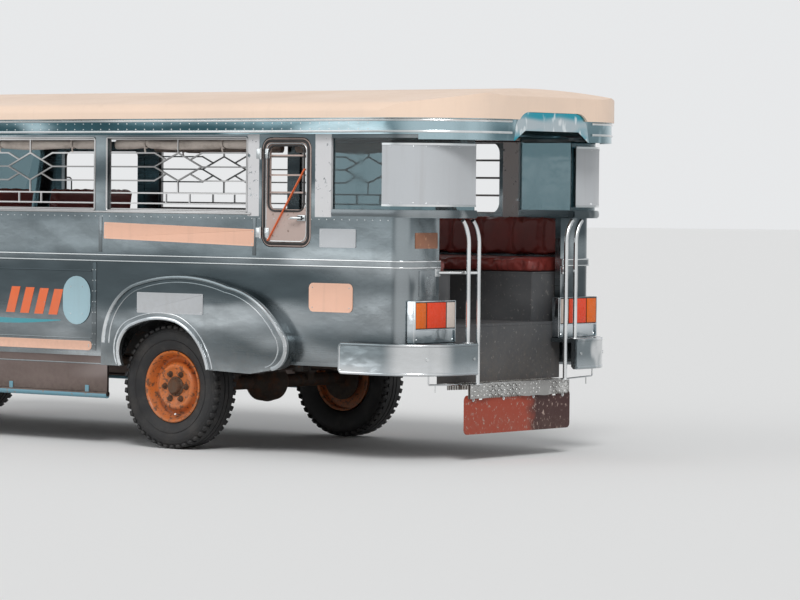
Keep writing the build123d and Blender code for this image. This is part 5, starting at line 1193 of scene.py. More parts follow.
# Wheels
@dataclass
class RoadWheel:
    """Tyre with shoulder lugs on a deep-dish rim.

    Args:
        spot: name of the wheel's place.
        centre: middle of the tyre.
        side: side of the vehicle.
        tyre_r: radius over the tread.
        tyre_half: half of the tyre's width.
        rim_r: radius of the rim.
        lugs: number of lugs on each shoulder.
        nuts: number of wheel nuts.
        screws: number of small screws in the hub.
        dish: distance of the hub's seat from the wheel's middle.
    """

    spot: str
    centre: Point
    side: Side
    tyre_r: float = 0.378
    tyre_half: float = 0.096
    rim_r: float = 0.2205
    lugs: int = 46
    nuts: int = 6
    screws: int = 8
    dish: float = 0.03

    def add_tyre(self) -> None:
        """Spin the carcass and set the tread blocks round it."""
        piece = Piece(f"{self.spot}_tyre", TYRE, "tyre_rubber", f"wheel_{self.spot}", 50.0)
        h, r, b = self.tyre_half, self.tyre_r, self.rim_r
        shoulder = [
            (0.70 * h, b + 0.002), (0.80 * h, b + 0.012), (0.90 * h, b + 0.045), (0.985 * h, b + 0.075),
            (h, b + 0.092),
            (0.975 * h, b + 0.118), (0.90 * h, r - 0.026), (0.78 * h, r - 0.012), (0.66 * h, r - 0.010),
        ]
        tread = [
            (0.60 * h, r - 0.011), (0.59 * h, r - 0.001), (0.22 * h, r), (0.21 * h, r - 0.01),
            (0.15 * h, r - 0.01), (0.14 * h, r),
        ]
        half = shoulder + tread
        profile = half + [(-a, q) for a, q in reversed(half)]
        profile += [(-0.6 * h, b - 0.003), (0.6 * h, b - 0.003), profile[0]]
        piece.turned(profile[:-1], self.centre, self.side.out, 96)
        for flank in (1, -1):
            twist, tilt = math.radians(14 * flank), math.radians(-9 * flank)
            lean = Matrix.Rotation(twist, 3, "Z") @ Matrix.Rotation(tilt, 3, "X")
            for k in range(self.lugs):
                angle = 2 * math.pi * (k + (0.25 if flank > 0 else 0.0)) / self.lugs
                spin = Matrix.Rotation(angle, 3, "Y")
                middle = Vector(self.centre) + spin @ Vector((0, flank * 0.775 * h, r - 0.0115))
                piece.block(middle, (0.031, 0.038, 0.018), 0.003, spin @ lean, 1)
        for ring in (0.112, 0.06):
            piece.turned(
                [(0.945 * h, b + ring), (0.99 * h, b + ring + 0.003), (0.945 * h, b + ring + 0.006)],
                self.centre, self.side.out, 96,
            )
        piece.done([f"tyre_{self.spot}"])

    def add_rim(self) -> None:
        """Spin the rim: bright lip, barrel, deep groove and a domed disc."""
        piece = Piece(f"{self.spot}_rim", ORANGE, "rim_orange", f"wheel_{self.spot}")
        h, r, d = 0.072, self.rim_r, self.dish
        lip = [
            (h - 0.010, r - 0.020), (h, r - 0.015), (h + 0.004, r - 0.007), (h, r - 0.001),
            (h - 0.009, r - 0.001), (h - 0.014, r - 0.012),
        ]
        inner = [
            (-h, r - 0.012), (-h - 0.003, r - 0.006), (-h, r - 0.02), (-0.03, r - 0.024), (-0.03, 0.150),
            (d - 0.030, 0.075),
        ]
        disc = [
            (d - 0.020, 0.060), (d + 0.006, 0.060), (d + 0.009, 0.066), (d + 0.009, 0.104),
            (d + 0.012, 0.110), (d + 0.017, 0.118), (d + 0.018, 0.128),
            (d + 0.013, 0.138), (d + 0.002, 0.145), (d - 0.018, 0.152), (d - 0.028, 0.160),
            (d - 0.031, 0.172), (d - 0.026, 0.182), (d - 0.010, r - 0.031),
            (d + 0.012, r - 0.027),
        ]
        profile = lip + inner + disc
        piece.turned(profile + [profile[0]], self.centre, self.side.out, 72)
        piece.done([f"wheel_{self.spot}"])

    def on_face(self, angle: float, radius: float, out: float) -> Vector:
        """Return a point by its angle from the top, its distance from the axis and its distance outwards."""
        return Vector(self.centre) + Vector(
            (math.sin(angle) * radius, self.side.value * out, math.cos(angle) * radius)
        )

    def add_hub(self) -> None:
        """Rusty hub, nuts on studs and the valve."""
        piece = Piece(f"{self.spot}_hub", HUB_IRON, "axle_rust", f"wheel_{self.spot}")
        d = self.dish
        hub = [
            (d - 0.01, 0.0605), (d + 0.011, 0.0605), (d + 0.014, 0.056), (d + 0.016, 0.047),
            (d + 0.034, 0.044), (d + 0.040, 0.038), (d + 0.041, 0.02), (d + 0.0405, 0.0),
        ]
        piece.turned(hub, self.centre, self.side.out, 40)
        for k in range(self.nuts):
            angle = 2 * math.pi * (k + 0.5) / self.nuts
            spot = self.on_face(angle, 0.085, d + 0.0085)
            piece.turned([(0.0, 0.020), (0.003, 0.020), (0.004, 0.0)], spot, self.side.out, 14)
            piece.bolt(spot + self.side.out * 0.003, self.side.out, 0.0165, 0.015)
            piece.bolt(spot + self.side.out * 0.017, self.side.out, 0.009, 0.010, 10)
        for k in range(self.screws):
            angle = 2 * math.pi * k / self.screws
            spot = self.on_face(angle, 0.0505, d + 0.0145)
            piece.bolt(spot, self.side.out, 0.005, 0.006)
        piece.done()
        valve = Piece(f"{self.spot}_valve", body=f"wheel_{self.spot}")
        start = Vector(self.centre) + Vector((0.0, self.side.value * (d - 0.029), -0.176))
        valve.bar(start, start + Vector((0, self.side.value * 0.034, 0.006)), 0.0045, 10)
        valve.bar(
            start + Vector((0, self.side.value * 0.03, 0.005)),
            start + Vector((0, self.side.value * 0.042, 0.0075)), 0.006, 10,
        )
        valve.done()

    def build(self) -> None:
        """Make the wheel's pieces."""
        self.add_tyre()
        self.add_rim()
        self.add_hub()


# Window band
@dataclass
class RolledCurtains:
    """Canvas curtains rolled up along the tops of the side windows.

    Args:
        bays: rear and front end of each window.
        y: distance of the roll's middle from the vehicle's middle.
        z: height of the roll's middle.
        drop: height of the cloth when let down; not used.
        margin: gap between the roll's ends and the window's ends.
        radius: radius of the roll.
        turns: number of turns of the cloth.
        ties: share of the roll's length at which each tie sits.
        stations: steps along the roll.
        points: steps round the spiral.
    """

    bays: tuple[tuple[float, float], ...] = ((-1.597, -0.481), (-0.364, 0.752))
    y: float = 0.872
    z: float = 1.862
    drop: float = 0.42
    margin: float = 0.006
    radius: float = 0.031
    turns: float = 3.0
    ties: tuple[float, float] = (0.22, 0.78)
    stations: int = 110
    points: int = 84

    def add_roll(self, name: str, start: float, end: float, side: Side, seed: int) -> bpy.types.Object:
        """Loft one spiral of cloth with its slack and wrinkles.

        Args:
            name: name of the piece.
            start: rear end.
            end: front end.
            side: side of the vehicle.
            seed: seed of the wrinkles.

        Returns:
            The roll.
        """
        piece = Piece(name, CANVAS, "canvas", crease=180.0)
        chance = random.Random(seed)
        ripples = [
            (chance.uniform(6, 22), chance.uniform(0, 6.3), chance.uniform(0.001, 0.0028)) for _ in range(5)
        ]
        ties = [start + (end - start) * share for share in self.ties]
        rings: list[Ring] = []
        for s in range(self.stations + 1):
            x = start + self.margin + (end - start - 2 * self.margin) * s / self.stations
            pinch = max(math.exp(-(((x - tie) / 0.022) ** 2)) for tie in ties)
            span = min(abs(x - tie) for tie in ties)
            sag = 0.010 * math.sin(min(1.0, span / 0.3) * math.pi / 2) if ties[0] < x < ties[1] else 0.0
            ring: Ring = []
            for k in range(self.points + 1):
                turn = self.turns * 2 * math.pi * k / self.points
                r = self.radius * (0.36 + 0.62 * k / self.points) * (1 - 0.26 * pinch)
                r += sum(
                    depth * math.sin(f * x + phase + turn * (1 + i % 2))
                    for i, (f, phase, depth) in enumerate(ripples)
                ) * 0.6
                hang = 0.007 * max(0.0, -math.cos(turn + 0.3)) * (1 - pinch) * k / self.points
                y = side.value * (self.y + r * math.sin(turn) * 0.92)
                ring.append(Vector((x, y, self.z + r * math.cos(turn) - sag * 0.5 - hang)))
            rings.append(ring)
        piece.loft(rings, closed=False, caps=False)
        return piece.done()

    def add_ties(self, name: str, start: float, end: float, side: Side) -> bpy.types.Object:
        """Webbing ties round a roll, each with its knot."""
        piece = Piece(name, CANVAS, "canvas")
        for share in self.ties:
            x = start + (end - start) * share
            loop: list[Ring] = []
            for k in range(25):
                angle = 2 * math.pi * k / 24
                r = self.radius * 0.80 + 0.0012
                y = side.value * (self.y + r * math.sin(angle) * 0.95)
                centre = Vector((x, y, self.z - 0.001 + r * math.cos(angle)))
                out = Vector((0, side.value * math.sin(angle), math.cos(angle)))
                loop.append([centre + AHEAD * dx + out * t for dx, t in oblong(-0.009, 0.009, 0, 0.0016)])
            piece.loft(loop, caps=False)
            piece.block(
                (x, side.value * (self.y + 0.004), self.z - self.radius * 0.84), (0.022, 0.018, 0.012), 0.005
            )
            piece.block(
                (x + 0.005, side.value * (self.y + 0.006), self.z - self.radius - 0.012),
                (0.012, 0.003, 0.038), 0.0012, Matrix.Rotation(0.25, 3, "Y"),
            )
        bmesh.ops.remove_doubles(piece.bm, verts=piece.bm.verts, dist=1e-5)
        return piece.done()

    def build(self) -> None:
        """Make the four rolls; the first stands for the CAD node."""
        for side in Side:
            for index, (start, end) in enumerate(self.bays):
                label = f"curtain_{side.label}_{index + 1}"
                roll = self.add_roll(label, start, end, side, 11 + index + 5 * side.value)
                ties = self.add_ties(f"{label}_ties", start, end, side)
                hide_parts("rolled_curtains")


# Upholstery
@dataclass
class Pad:
    """Upholstered pad whose cells swell between sewn seams.

    Args:
        name: name of the piece.
        low: lower corner of the pad's space.
        high: upper corner of the pad's space.
        seams: place of each seam along seam_axis.
        seam_axis: axis that the seams are spaced along.
        rests: axis and sign of the face that lies flat on its base.
        turn: lean of the pad about its lower rear edge, in degrees.
        voxel: size of the remeshed cells.
        swell: how far a point may move.
        fill: how full the pad is, from 0 to 1; not used.
        frames: number of the solver's steps.
    """

    name: str
    low: Point
    high: Point
    seams: Sequence[float]
    seam_axis: Axis
    rests: tuple[Axis, int]
    turn: float = 0.0
    voxel: float = 0.014
    swell: float = 0.014
    fill: float = 0.75
    frames: int = 20

    def start_mesh(self) -> bpy.types.Mesh:
        """Return a rounded block, smaller than the space by the swell."""
        block = Shape()
        low, high = Vector(self.low), Vector(self.high)
        inset = Vector((self.swell, self.swell, self.swell)) * 0.8
        axis, sign = self.rests
        size = high - low - 2 * inset
        centre = (high + low) / 2
        size[axis.value] += inset[axis.value]
        centre[axis.value] += sign * inset[axis.value] / 2
        block.block(centre, size, 0.3 * min(size), segments=4)
        return block.mesh(f"{self.name}_start")

    def is_held(self, spot: Vector) -> float:
        """Return how firmly a point is held: 1 on its base and along a seam."""
        axis, sign = self.rests
        base = self.high[axis.value] if sign > 0 else self.low[axis.value]
        if abs(spot[axis.value] - base) < self.voxel * 0.8:
            return 1.0
        gap = min((abs(spot[self.seam_axis.value] - seam) for seam in self.seams), default=1.0)
        return 0.96 if gap < self.voxel * 0.62 else 0.0

    def settled(self, stage: bpy.types.Object) -> list[Vector]:
        """Blow the pad up with the cloth solver and return its points."""
        start = [v.co.copy() for v in stage.data.vertices]
        group = stage.vertex_groups.new(name="held")
        for index, spot in enumerate(start):
            weight = self.is_held(spot)
            if weight:
                group.add([index], weight, "REPLACE")
        cloth = stage.modifiers.new("swell", "CLOTH")
        settings = cloth.settings
        settings.quality = 4
        settings.mass = 0.35
        settings.tension_stiffness = settings.compression_stiffness = 12.0
        settings.bending_stiffness = 1.5
        settings.use_pressure = True
        settings.uniform_pressure_force = 4.0
        settings.shrink_min = -0.06
        settings.vertex_group_mass = group.name
        settings.effector_weights.gravity = 0.0
        cloth.point_cache.frame_start, cloth.point_cache.frame_end = 1, self.frames
        scene = bpy.context.scene
        for step in range(self.frames):
            scene.frame_set(step + 1)
        shaped = stage.evaluated_get(bpy.context.evaluated_depsgraph_get()).data
        ends = [v.co.copy() for v in shaped.vertices]
        stage.modifiers.remove(cloth)
        scene.frame_set(1)
        return [a + (b - a) * min(1.0, self.swell / max((b - a).length, 1e-9)) for a, b in zip(start, ends)]

    def build(self, replaces: str, mirrored: bool = False) -> list[bpy.types.Object]:
        """Make the pad, and its mirror image where asked.

        Args:
            replaces: CAD node that it stands for.
            mirrored: whether a second pad lies on the other side.

        Returns:
            The finished pads.
        """
        stage = bpy.data.objects.new(f"{self.name}_stage", self.start_mesh())
        bpy.context.scene.collection.objects.link(stage)
        remesh = stage.modifiers.new("cells", "REMESH")
        remesh.mode, remesh.voxel_size = "VOXEL", self.voxel
        graph = bpy.context.evaluated_depsgraph_get()
        stage.data = bpy.data.meshes.new_from_object(stage.evaluated_get(graph))
        stage.modifiers.clear()
        spots = self.settled(stage)
        for vertex, spot in zip(stage.data.vertices, spots):
            vertex.co = spot
        smooth = stage.modifiers.new("smooth", "SUBSURF")
        smooth.levels = smooth.render_levels = 1
        graph = bpy.context.evaluated_depsgraph_get()
        mesh = bpy.data.meshes.new_from_object(stage.evaluated_get(graph))
        bpy.data.objects.remove(stage)
        made = []
        for side in Side if mirrored else (Side.LEFT,):
            label = f"{self.name}_{side.label}" if mirrored else self.name
            piece = Piece(label, SEAT_VINYL, "seat_vinyl", crease=180.0)
            piece.bm.from_mesh(mesh)
            for vert in piece.bm.verts:
                gap = min((abs(vert.co[self.seam_axis.value] - seam) for seam in self.seams), default=1.0)
                if self.is_held(vert.co) < 1.0:
                    vert.co -= vert.normal * 0.0035 * math.exp(-((gap / 0.006) ** 2))
            if self.turn:
                foot = Vector((self.low[0], 0, self.low[2]))
                bmesh.ops.rotate(
                    piece.bm, cent=foot, matrix=Matrix.Rotation(math.radians(-self.turn), 3, "Y"),
                    verts=piece.bm.verts,
                )
            if side is Side.RIGHT:
                bmesh.ops.scale(piece.bm, vec=(1, -1, 1), verts=piece.bm.verts)
            made.append(piece.done([replaces]))
        return made


def build_seats() -> None:
    """Make the benches' and the cab seats' pads."""
    rear, front = -2.713, 0.801
    pitch = (front - rear) / 15
    seams = [rear + pitch * k for k in range(1, 15)]
    bench = Pad("bench_pad", (rear, 0.413, 1.101), (front, 0.906, 1.185), seams, Axis.X, (Axis.Z, -1))
    bench.build("bench_cushions", True)
    bench = Pad(
        "bench_back", (rear, 0.846, 1.189), (front, 0.907, 1.441), seams, Axis.X, (Axis.Y, 1), swell=0.010
    )
    bench.build("bench_backs", True)
    cell, swell = 0.0097, 0.011
    for label, y, width, cells in (("driver", 0.43, 0.56, 6), ("passenger", -0.43, 0.76, 8)):
        ribs = [y - width / 2 + width * k / cells for k in range(1, cells)]
        low, high = (0.956, y - width / 2, 0.996), (1.374, y + width / 2, 1.09)
        seat = Pad(f"{label}_cushion", low, high, ribs, Axis.Y, (Axis.Z, -1), voxel=cell, swell=swell)
        seat.build("cab_seat_pads")
        low, high = (0.957, y - width / 2, 1.094), (1.038, y + width / 2, 1.583)
        seat = Pad(f"{label}_back", low, high, ribs, Axis.Y, (Axis.X, -1), turn=8.5, voxel=cell, swell=swell)
        seat.build("cab_seat_pads")


# Roof and side trim
@dataclass
class BodyTrim:
    """Beads, cover strips, rivets, window frames and the skirt's tube of one side.

    Args:
        side: side of the vehicle.
        roof_half: Y of the fascia.
        roof_rear: X of the roof's rear edge.
        roof_corner: radius of the roof's rear corner.
        seams: X of each seam between the side panels.
    """

    side: Side
    roof_half: float = 0.985
    roof_rear: float = -3.16
    roof_corner: float = 0.535
    seams: tuple[float, ...] = (-0.375, 0.46)

    def add_beads(self) -> None:
        """Roll half-round beads along the fascia, and set rivets on the fascia, the panel seams and under the
        window band.
        """
        piece = Piece(f"fascia_beads_{self.side.label}")
        path = plan_path(self.roof_rear, self.roof_half, self.roof_corner, 1.60, 0.405, self.side, 22)
        bead = [(0.0, -0.008), (0.006, -0.0065), (0.009, 0.0), (0.006, 0.0065), (0.0, 0.008), (-0.004, 0.0)]
        for z in (1.997, 1.931):
            piece.rail(path, [(out, z + up) for out, up in bead], self.side)
        piece.done()
        rivets = Piece(f"fascia_rivets_{self.side.label}")
        for k in range(62):
            x = 1.58 - 0.0725 * k
            for z in (1.98, 1.946):
                if x > self.roof_rear + self.roof_corner:
                    rivets.rivet((x, self.side.value * self.roof_half, z), self.side.out, 0.0045)
        for x in self.seams:
            for k in range(8):
                for dx in (-0.011, 0.011):
                    rivets.rivet((x + dx, self.side.value * 0.9525, 0.62 + 0.066 * k), self.side.out, 0.004)
        for k in range(58):
            rivets.rivet((-2.68 + 0.0575 * k, self.side.value * 0.95, 1.414), self.side.out, 0.004)
        rivets.done()

    def add_belt(self) -> None:
        """Roll bright lines along both edges of the belt moulding."""
        piece = Piece(f"belt_beads_{self.side.label}")
        rear = plan_path(BODY_REAR_X - 0.012, SIDE_Y + 0.012, 0.102, 0.885, 0.613, self.side, 12)
        front = [Vector((x, self.side.value * (SIDE_Y + 0.012), 0)) for x in (1.92, 1.73)]
        bead = [(0.0, -0.005), (0.004, -0.003), (0.005, 0.0), (0.004, 0.003), (0.0, 0.005), (-0.003, 0.0)]
        for path in (rear, front):
            for z in (1.176, 1.139):
                piece.rail(path, [(out, z + up) for out, up in bead], self.side)
        piece.done()

    def add_flare(self) -> None:
        """Roll a bright double edge round the rear fender and its arch."""
        s = self.side.value
        piece = Piece(f"flare_beads_{self.side.label}", BUMPER, "bumper_chrome")
        outline = [
            (0.478, 0.640), (0.402, 0.868), (0.230, 1.003), (-0.150, 1.066), (-0.560, 1.008),
            (-0.850, 0.885), (-0.985, 0.740), (-1.010, 0.590), (-0.917, 0.522),
        ]
        arch = [
            (-0.377, 0.500), (-0.292, 0.668), (-0.126, 0.776), (0.040, 0.787), (0.199, 0.751), (0.315, 0.650),
            (0.306, 0.500),
        ]
        for spots, radius, share in (
            (outline, 0.013, 0.968), (outline, 0.0045, 0.90), (arch, 0.012, 1.035), (arch, 0.0045, 1.13)
        ):
            middle = Vector((-0.18, 0.0, 0.62)) if spots is outline else Vector((0.0, 0.0, 0.45))
            line: list[Vector] = []
            for k in range(0, len(spots) - 2, 2):
                arc = [Vector((x, 0.0, z)) for x, z in spots[k : k + 3]]
                line += arc_through(*arc, 14)[1 if line else 0 :]
            line = [middle + (p - middle) * share for p in line]
            line = [Vector((REAR_AXLE_X + p.x, s * 1.0195, p.z)) for p in line]
            piece.pipe(line, radius)
        piece.done()

    def add_strips(self) -> None:
        """Lay cover strips over the panel seams and frames round the windows."""
        s = self.side.value
        piece = Piece(f"cover_strips_{self.side.label}", STAINLESS, "stainless_panel")
        for x in self.seams:
            piece.block((x, s * 0.9515, 0.855), (0.036, 0.003, 0.545), 0.001)
        for x in (-1.665, -0.4225, 0.81):
            piece.block((x, s * 0.9512, 1.305), (0.028, 0.0024, 0.225), 0.0008)
        piece.done()
        frames = Piece(f"window_frames_{self.side.label}", ROD_STEEL, "grille_chrome")
        for start, end in ((-1.605, -0.4725), (-0.3725, 0.76)):
            corners = upright((start, s * PANEL_Y, WINDOW_Z), (end, s * PANEL_Y, WINDOW_TOP_Z))
            frames.hoop(corners, 0.012, 4, 0.006)
        frames.block((-0.4225, s * 0.954, 1.441), (2.435, 0.010, 0.012), 0.004)
        frames.done()

    def add_groove(self) -> None:
        """Lay the groove lines along the lower side and hang the skirt's tube."""
        s = self.side.value
        piece = Piece(f"side_lines_{self.side.label}", STAINLESS, "stainless_panel")
        for z in (1.075, 0.655):
            piece.block((0.66, s * 0.951, z), (2.02, 0.005, 0.009), 0.002)
        piece.block((0.671, s * 0.929, 0.50), (2.24, 0.004, 0.008), 0.0015)
        piece.done()
        tube = Piece(f"skirt_tube_{self.side.label}", TUBE_BLUE, "stainless_panel")
        tube.pipe(rounded_path([(-0.466, s * 0.922, 0.306), (1.808, s * 0.922, 0.306)], 0.01), 0.0175, 16)
        for x in (-0.3, 0.35, 1.0, 1.65):
            tube.block((x, s * 0.93, 0.335), (0.03, 0.006, 0.06), 0.002)
        tube.done()

    def build(self) -> None:
        """Make the side's trim."""
        self.add_beads()
        self.add_belt()
        self.add_flare()
        self.add_strips()
        self.add_groove()


@dataclass(frozen=True)
class Board:
    """Blank board on a flat side.

    Args:
        name: name of the piece.
        x: rear and front end.
        z: lower and upper edge.
        y: distance of its back from the middle.
        corner: radius of its corners.
        finish: its paint.
        slot: material slot.
        lean: angle by which its front end stands higher, in degrees.
    """

    name: str
    x: tuple[float, float]
    z: tuple[float, float]
    y: float
    corner: float
    finish: Finish
    slot: str
    lean: float = 0.0

    def build(self) -> None:
        """Make the board with its rolled border and screws."""
        centre = Vector((sum(self.x) / 2, self.y + 0.0015, sum(self.z) / 2))
        length, height = self.x[1] - self.x[0], self.z[1] - self.z[0]
        turn = Matrix.Rotation(math.radians(-self.lean), 3, "Y")
        piece = Piece(self.name, self.finish, self.slot)
        piece.plate(centre, (length, 0.003, height), self.corner, Axis.Y, turn)
        faces = [f for f in piece.bm.faces if f.normal.y > 0.9 and f.calc_area() > length * height * 0.5]
        bmesh.ops.inset_region(piece.bm, faces=faces, thickness=0.005, depth=0.0)
        bmesh.ops.inset_region(piece.bm, faces=faces, thickness=0.002, depth=-0.0008)
        piece.done()
        heads = Piece(f"{self.name}_screws")
        inset = self.corner * 0.5 + 0.010
        for dx in (-length / 2 + inset, length / 2 - inset):
            for dz in (-height / 2 + inset, height / 2 - inset):
                heads.rivet(centre + turn @ Vector((dx, 0.0015, dz)), Side.LEFT.out, 0.0042)
        heads.done()


@dataclass
class SignsAndStripes:
    """Blank boards and painted stripes of the left side, and the boards round the rear corners.

    Args:
        boards: boards of the left side.
        bars: X of each bar's lower rear corner.
        width: width of a bar.
        slant: how far a bar's top leans to the rear.
        skin: back and front of the painted stripes, as distances from the middle.
    """

    boards: tuple[Board, ...] = (
        Board("route_board", (-1.665, -0.455), (1.262, 1.363), 0.9505, 0.006, SIGN_PEACH, "roof_peach", 1.37),
        Board("small_board", (-2.442, -2.170), (1.25, 1.36), 0.9505, 0.008, SIGN_WHITE, "window_paint"),
        Board("side_plate", (-2.423, -2.093), (0.87, 1.04), 0.9505, 0.032, SIGN_PEACH, "roof_peach"),
        Board("fender_plate", (-1.325, -0.795), (0.83, 0.955), 1.0205, 0.006, SIGN_WHITE, "window_paint"),
        Board("long_board", (-0.357, 0.80), (0.582, 0.640), 0.9505, 0.028, SIGN_PEACH, "roof_peach"),
        Board("oval_plate", (-0.345, -0.115), (0.74, 1.04), 0.9525, 0.112, SIGN_BLUE, "window_paint"),
    )
    bars: tuple[float, ...] = (-0.062, 0.06, 0.182, 0.304, 0.54, 0.662)
    width: float = 0.074
    slant: float = 0.05
    skin: tuple[float, float] = (0.9502, 0.9514)

    def add_stripes(self) -> None:
        """Paint slanted orange bars over a tapering teal swoosh."""
        bars = Piece("orange_bars", STRIPE_ORANGE, "roof_peach")
        for k, x in enumerate(self.bars):
            low, high = 0.795 + 0.002 * k, 0.955 + 0.003 * k
            ring = [
                (x, low), (x + self.width, low), (x + self.width - self.slant, high), (x - self.slant, high)
            ]
            bars.loft([[Vector((px, y, pz)) for px, pz in ring] for y in self.skin])
        bars.done()
        swoosh = Piece("teal_swoosh", STRIPE_TEAL, "window_paint")
        rings = []
        for k in range(25):
            share = k / 24
            x = -0.09 + 0.86 * share
            mid = 0.762 - 0.012 * math.sin(share * math.pi)
            half = 0.003 + 0.017 * math.sin(min(1.0, share * 1.3) * math.pi / 2) * (1 - 0.25 * share)
            rings.append([Vector((x, y, mid + up)) for y, up in oblong(*self.skin, -half, half)])
        swoosh.loft(rings)
        swoosh.done()

    def add_rear_boards(self) -> None:
        """Bend a white board round each rear corner of the window band."""
        for side in Side:
            piece = Piece(f"corner_board_{side.label}", SIGN_WHITE, "window_paint")
            path = plan_path(BAND_REAR_X, SIDE_Y, 0.30, -2.635, 0.506, side, 26)
            section = oblong(0.003, 0.006, 1.502, 1.858)
            piece.rail(path, section, side)
            piece.done()
            edge = Piece(f"corner_board_edges_{side.label}")
            for z in (1.502, 1.858):
                edge.rail(path, oblong(0.001, 0.008, z - 0.006, z + 0.006), side)
            for index in range(2, len(path) - 1, 4):
                for z in (1.516, 1.844):
                    edge.rivet(
                        path[index] + outward(path, index, side) * 0.006 + Vector((0, 0, z)),
                        outward(path, index, side), 0.0045,
                    )
            edge.done()
            sill = Piece(f"corner_sill_{side.label}", STAINLESS, "stainless_panel")
            path = plan_path(BAND_REAR_X, SIDE_Y, 0.30, -2.26, 0.492, side, 26)
            sill.rail(path, [(0.0, 1.436), (0.006, 1.436), (0.009, 1.45), (0.006, 1.472), (0.0, 1.472)], side)
            sill.rail(path, oblong(0.0, 0.007, 1.893, 1.911), side)
            sill.done()
        plate = Piece("corner_plate", SIGN_RUST, "roof_peach")
        plate.plate((-2.7968, 0.735, 1.297), (0.003, 0.21, 0.092), 0.006, Axis.X)
        plate.done()

    def build(self) -> None:
        """Make every board and stripe."""
        for board in self.boards:
            board.build()
        self.add_stripes()
        self.add_rear_boards()


# Doors
@dataclass
class EscapeDoorDress:
    """Seals, latch, hinges and brace of the emergency door, and the bars of the window across from it.

    Args:
        x: rear and front edge of the door.
        z: its lower and upper edge.
        window: lower and upper edge of its window.
        axis: X and Y of the hinges.
        hinges: height of each hinge.
        body: body that the door's pieces ride on.
    """

    x: tuple[float, float] = (-2.094, -1.729)
    z: tuple[float, float] = (1.254, 1.888)
    window: tuple[float, float] = (1.46, 1.848)
    axis: tuple[float, float] = (-1.723, 0.964)
    hinges: tuple[float, float] = (1.33, 1.80)
    body: str = "emergency_door"

    def edge(self, inset: float, low: float, high: float) -> list[Point]:
        """Return the corners of a rectangle in the door's plane."""
        return upright((self.x[0] + inset, PANEL_Y, low), (self.x[1] - inset, PANEL_Y, high))

    def add_seals(self) -> None:
        """Press a rubber seal round the door and round its window."""
        seal = Piece("escape_seal", SEAL, "tyre_rubber", self.body)
        seal.hoop(self.edge(0.012, self.z[0] + 0.012, self.z[1] - 0.012), 0.055, 8, 0.0085, 10)
        seal.hoop(self.edge(0.045, *self.window), 0.055, 8, 0.006)
        seal.done()

    def add_metal(self) -> None:
        """Add the bright line, the latch and the hinge leaves that move with the door."""
        line = Piece("escape_bright_line", body=self.body)
        line.hoop(self.edge(0.027, self.z[0] + 0.027, self.z[1] - 0.027), 0.055, 8, 0.0038)
        line.block((-2.035, 0.958, 1.42), (0.062, 0.008, 0.036), 0.003)
        line.bar((-2.035, 0.958, 1.42), (-2.035, 0.984, 1.42), 0.008)
        line.block((-2.012, 0.985, 1.42), (0.085, 0.009, 0.015), 0.004)
        for z in self.hinges:
            line.block((self.axis[0] - 0.035, 0.9525, z), (0.046, 0.003, 0.058), 0.001)
            for dx, dz in ((-0.048, -0.018), (-0.048, 0.018), (-0.026, 0.0)):
                line.rivet((self.axis[0] + dx, 0.954, z + dz), Side.LEFT.out, 0.0042)
        line.done()

    def add_brace(self) -> None:
        """Bolt the slanted orange brace across the door."""
        bar = Piece("escape_orange_bar", STRIPE_ORANGE, "roof_peach", self.body)
        start, end = Vector((-2.058, 0.9575, 1.712)), Vector((-1.776, 0.9575, 1.282))
        turn = (end - start).to_track_quat("X", "Y").to_matrix()
        bar.block((start + end) / 2, ((end - start).length, 0.006, 0.017), 0.002, turn)
        for spot in (start.lerp(end, 0.03), start.lerp(end, 0.97)):
            bar.bolt(spot + Vector((0, 0.003, 0)), Side.LEFT.out, 0.006, 0.004)
        bar.done()

    def add_right_bars(self) -> None:
        """Frame and bar the window on the other side."""
        window = Piece("right_window_bars", ROD_STEEL, "grille_chrome")
        low, high = self.z[0] + 0.199, self.z[1] + 0.006
        window.hoop(
            upright((self.x[0] - 0.006, -PANEL_Y, low), (self.x[1] + 0.006, -PANEL_Y, high)), 0.07, 8, 0.007,
            10,
        )
        for share in (0.25, 0.5, 0.75):
            z = low + (high - low) * share
            window.bar((self.x[0] - 0.008, -0.945, z), (self.x[1] + 0.008, -0.945, z), 0.0065, 10)
        window.done()

    def add_barrels(self) -> None:
        """Fix the hinge barrels and their leaves on the body."""
        barrels = Piece("escape_hinges")
        for z in self.hinges:
            barrels.bar((*self.axis, z - 0.034), (*self.axis, z + 0.034), 0.0065, 14)
            barrels.block((self.axis[0] + 0.028, 0.9515, z), (0.036, 0.003, 0.058), 0.001)
        barrels.done()

    def build(self) -> None:
        """Make the door's small pieces."""
        self.add_seals()
        self.add_metal()
        self.add_brace()
        self.add_right_bars()
        self.add_barrels()


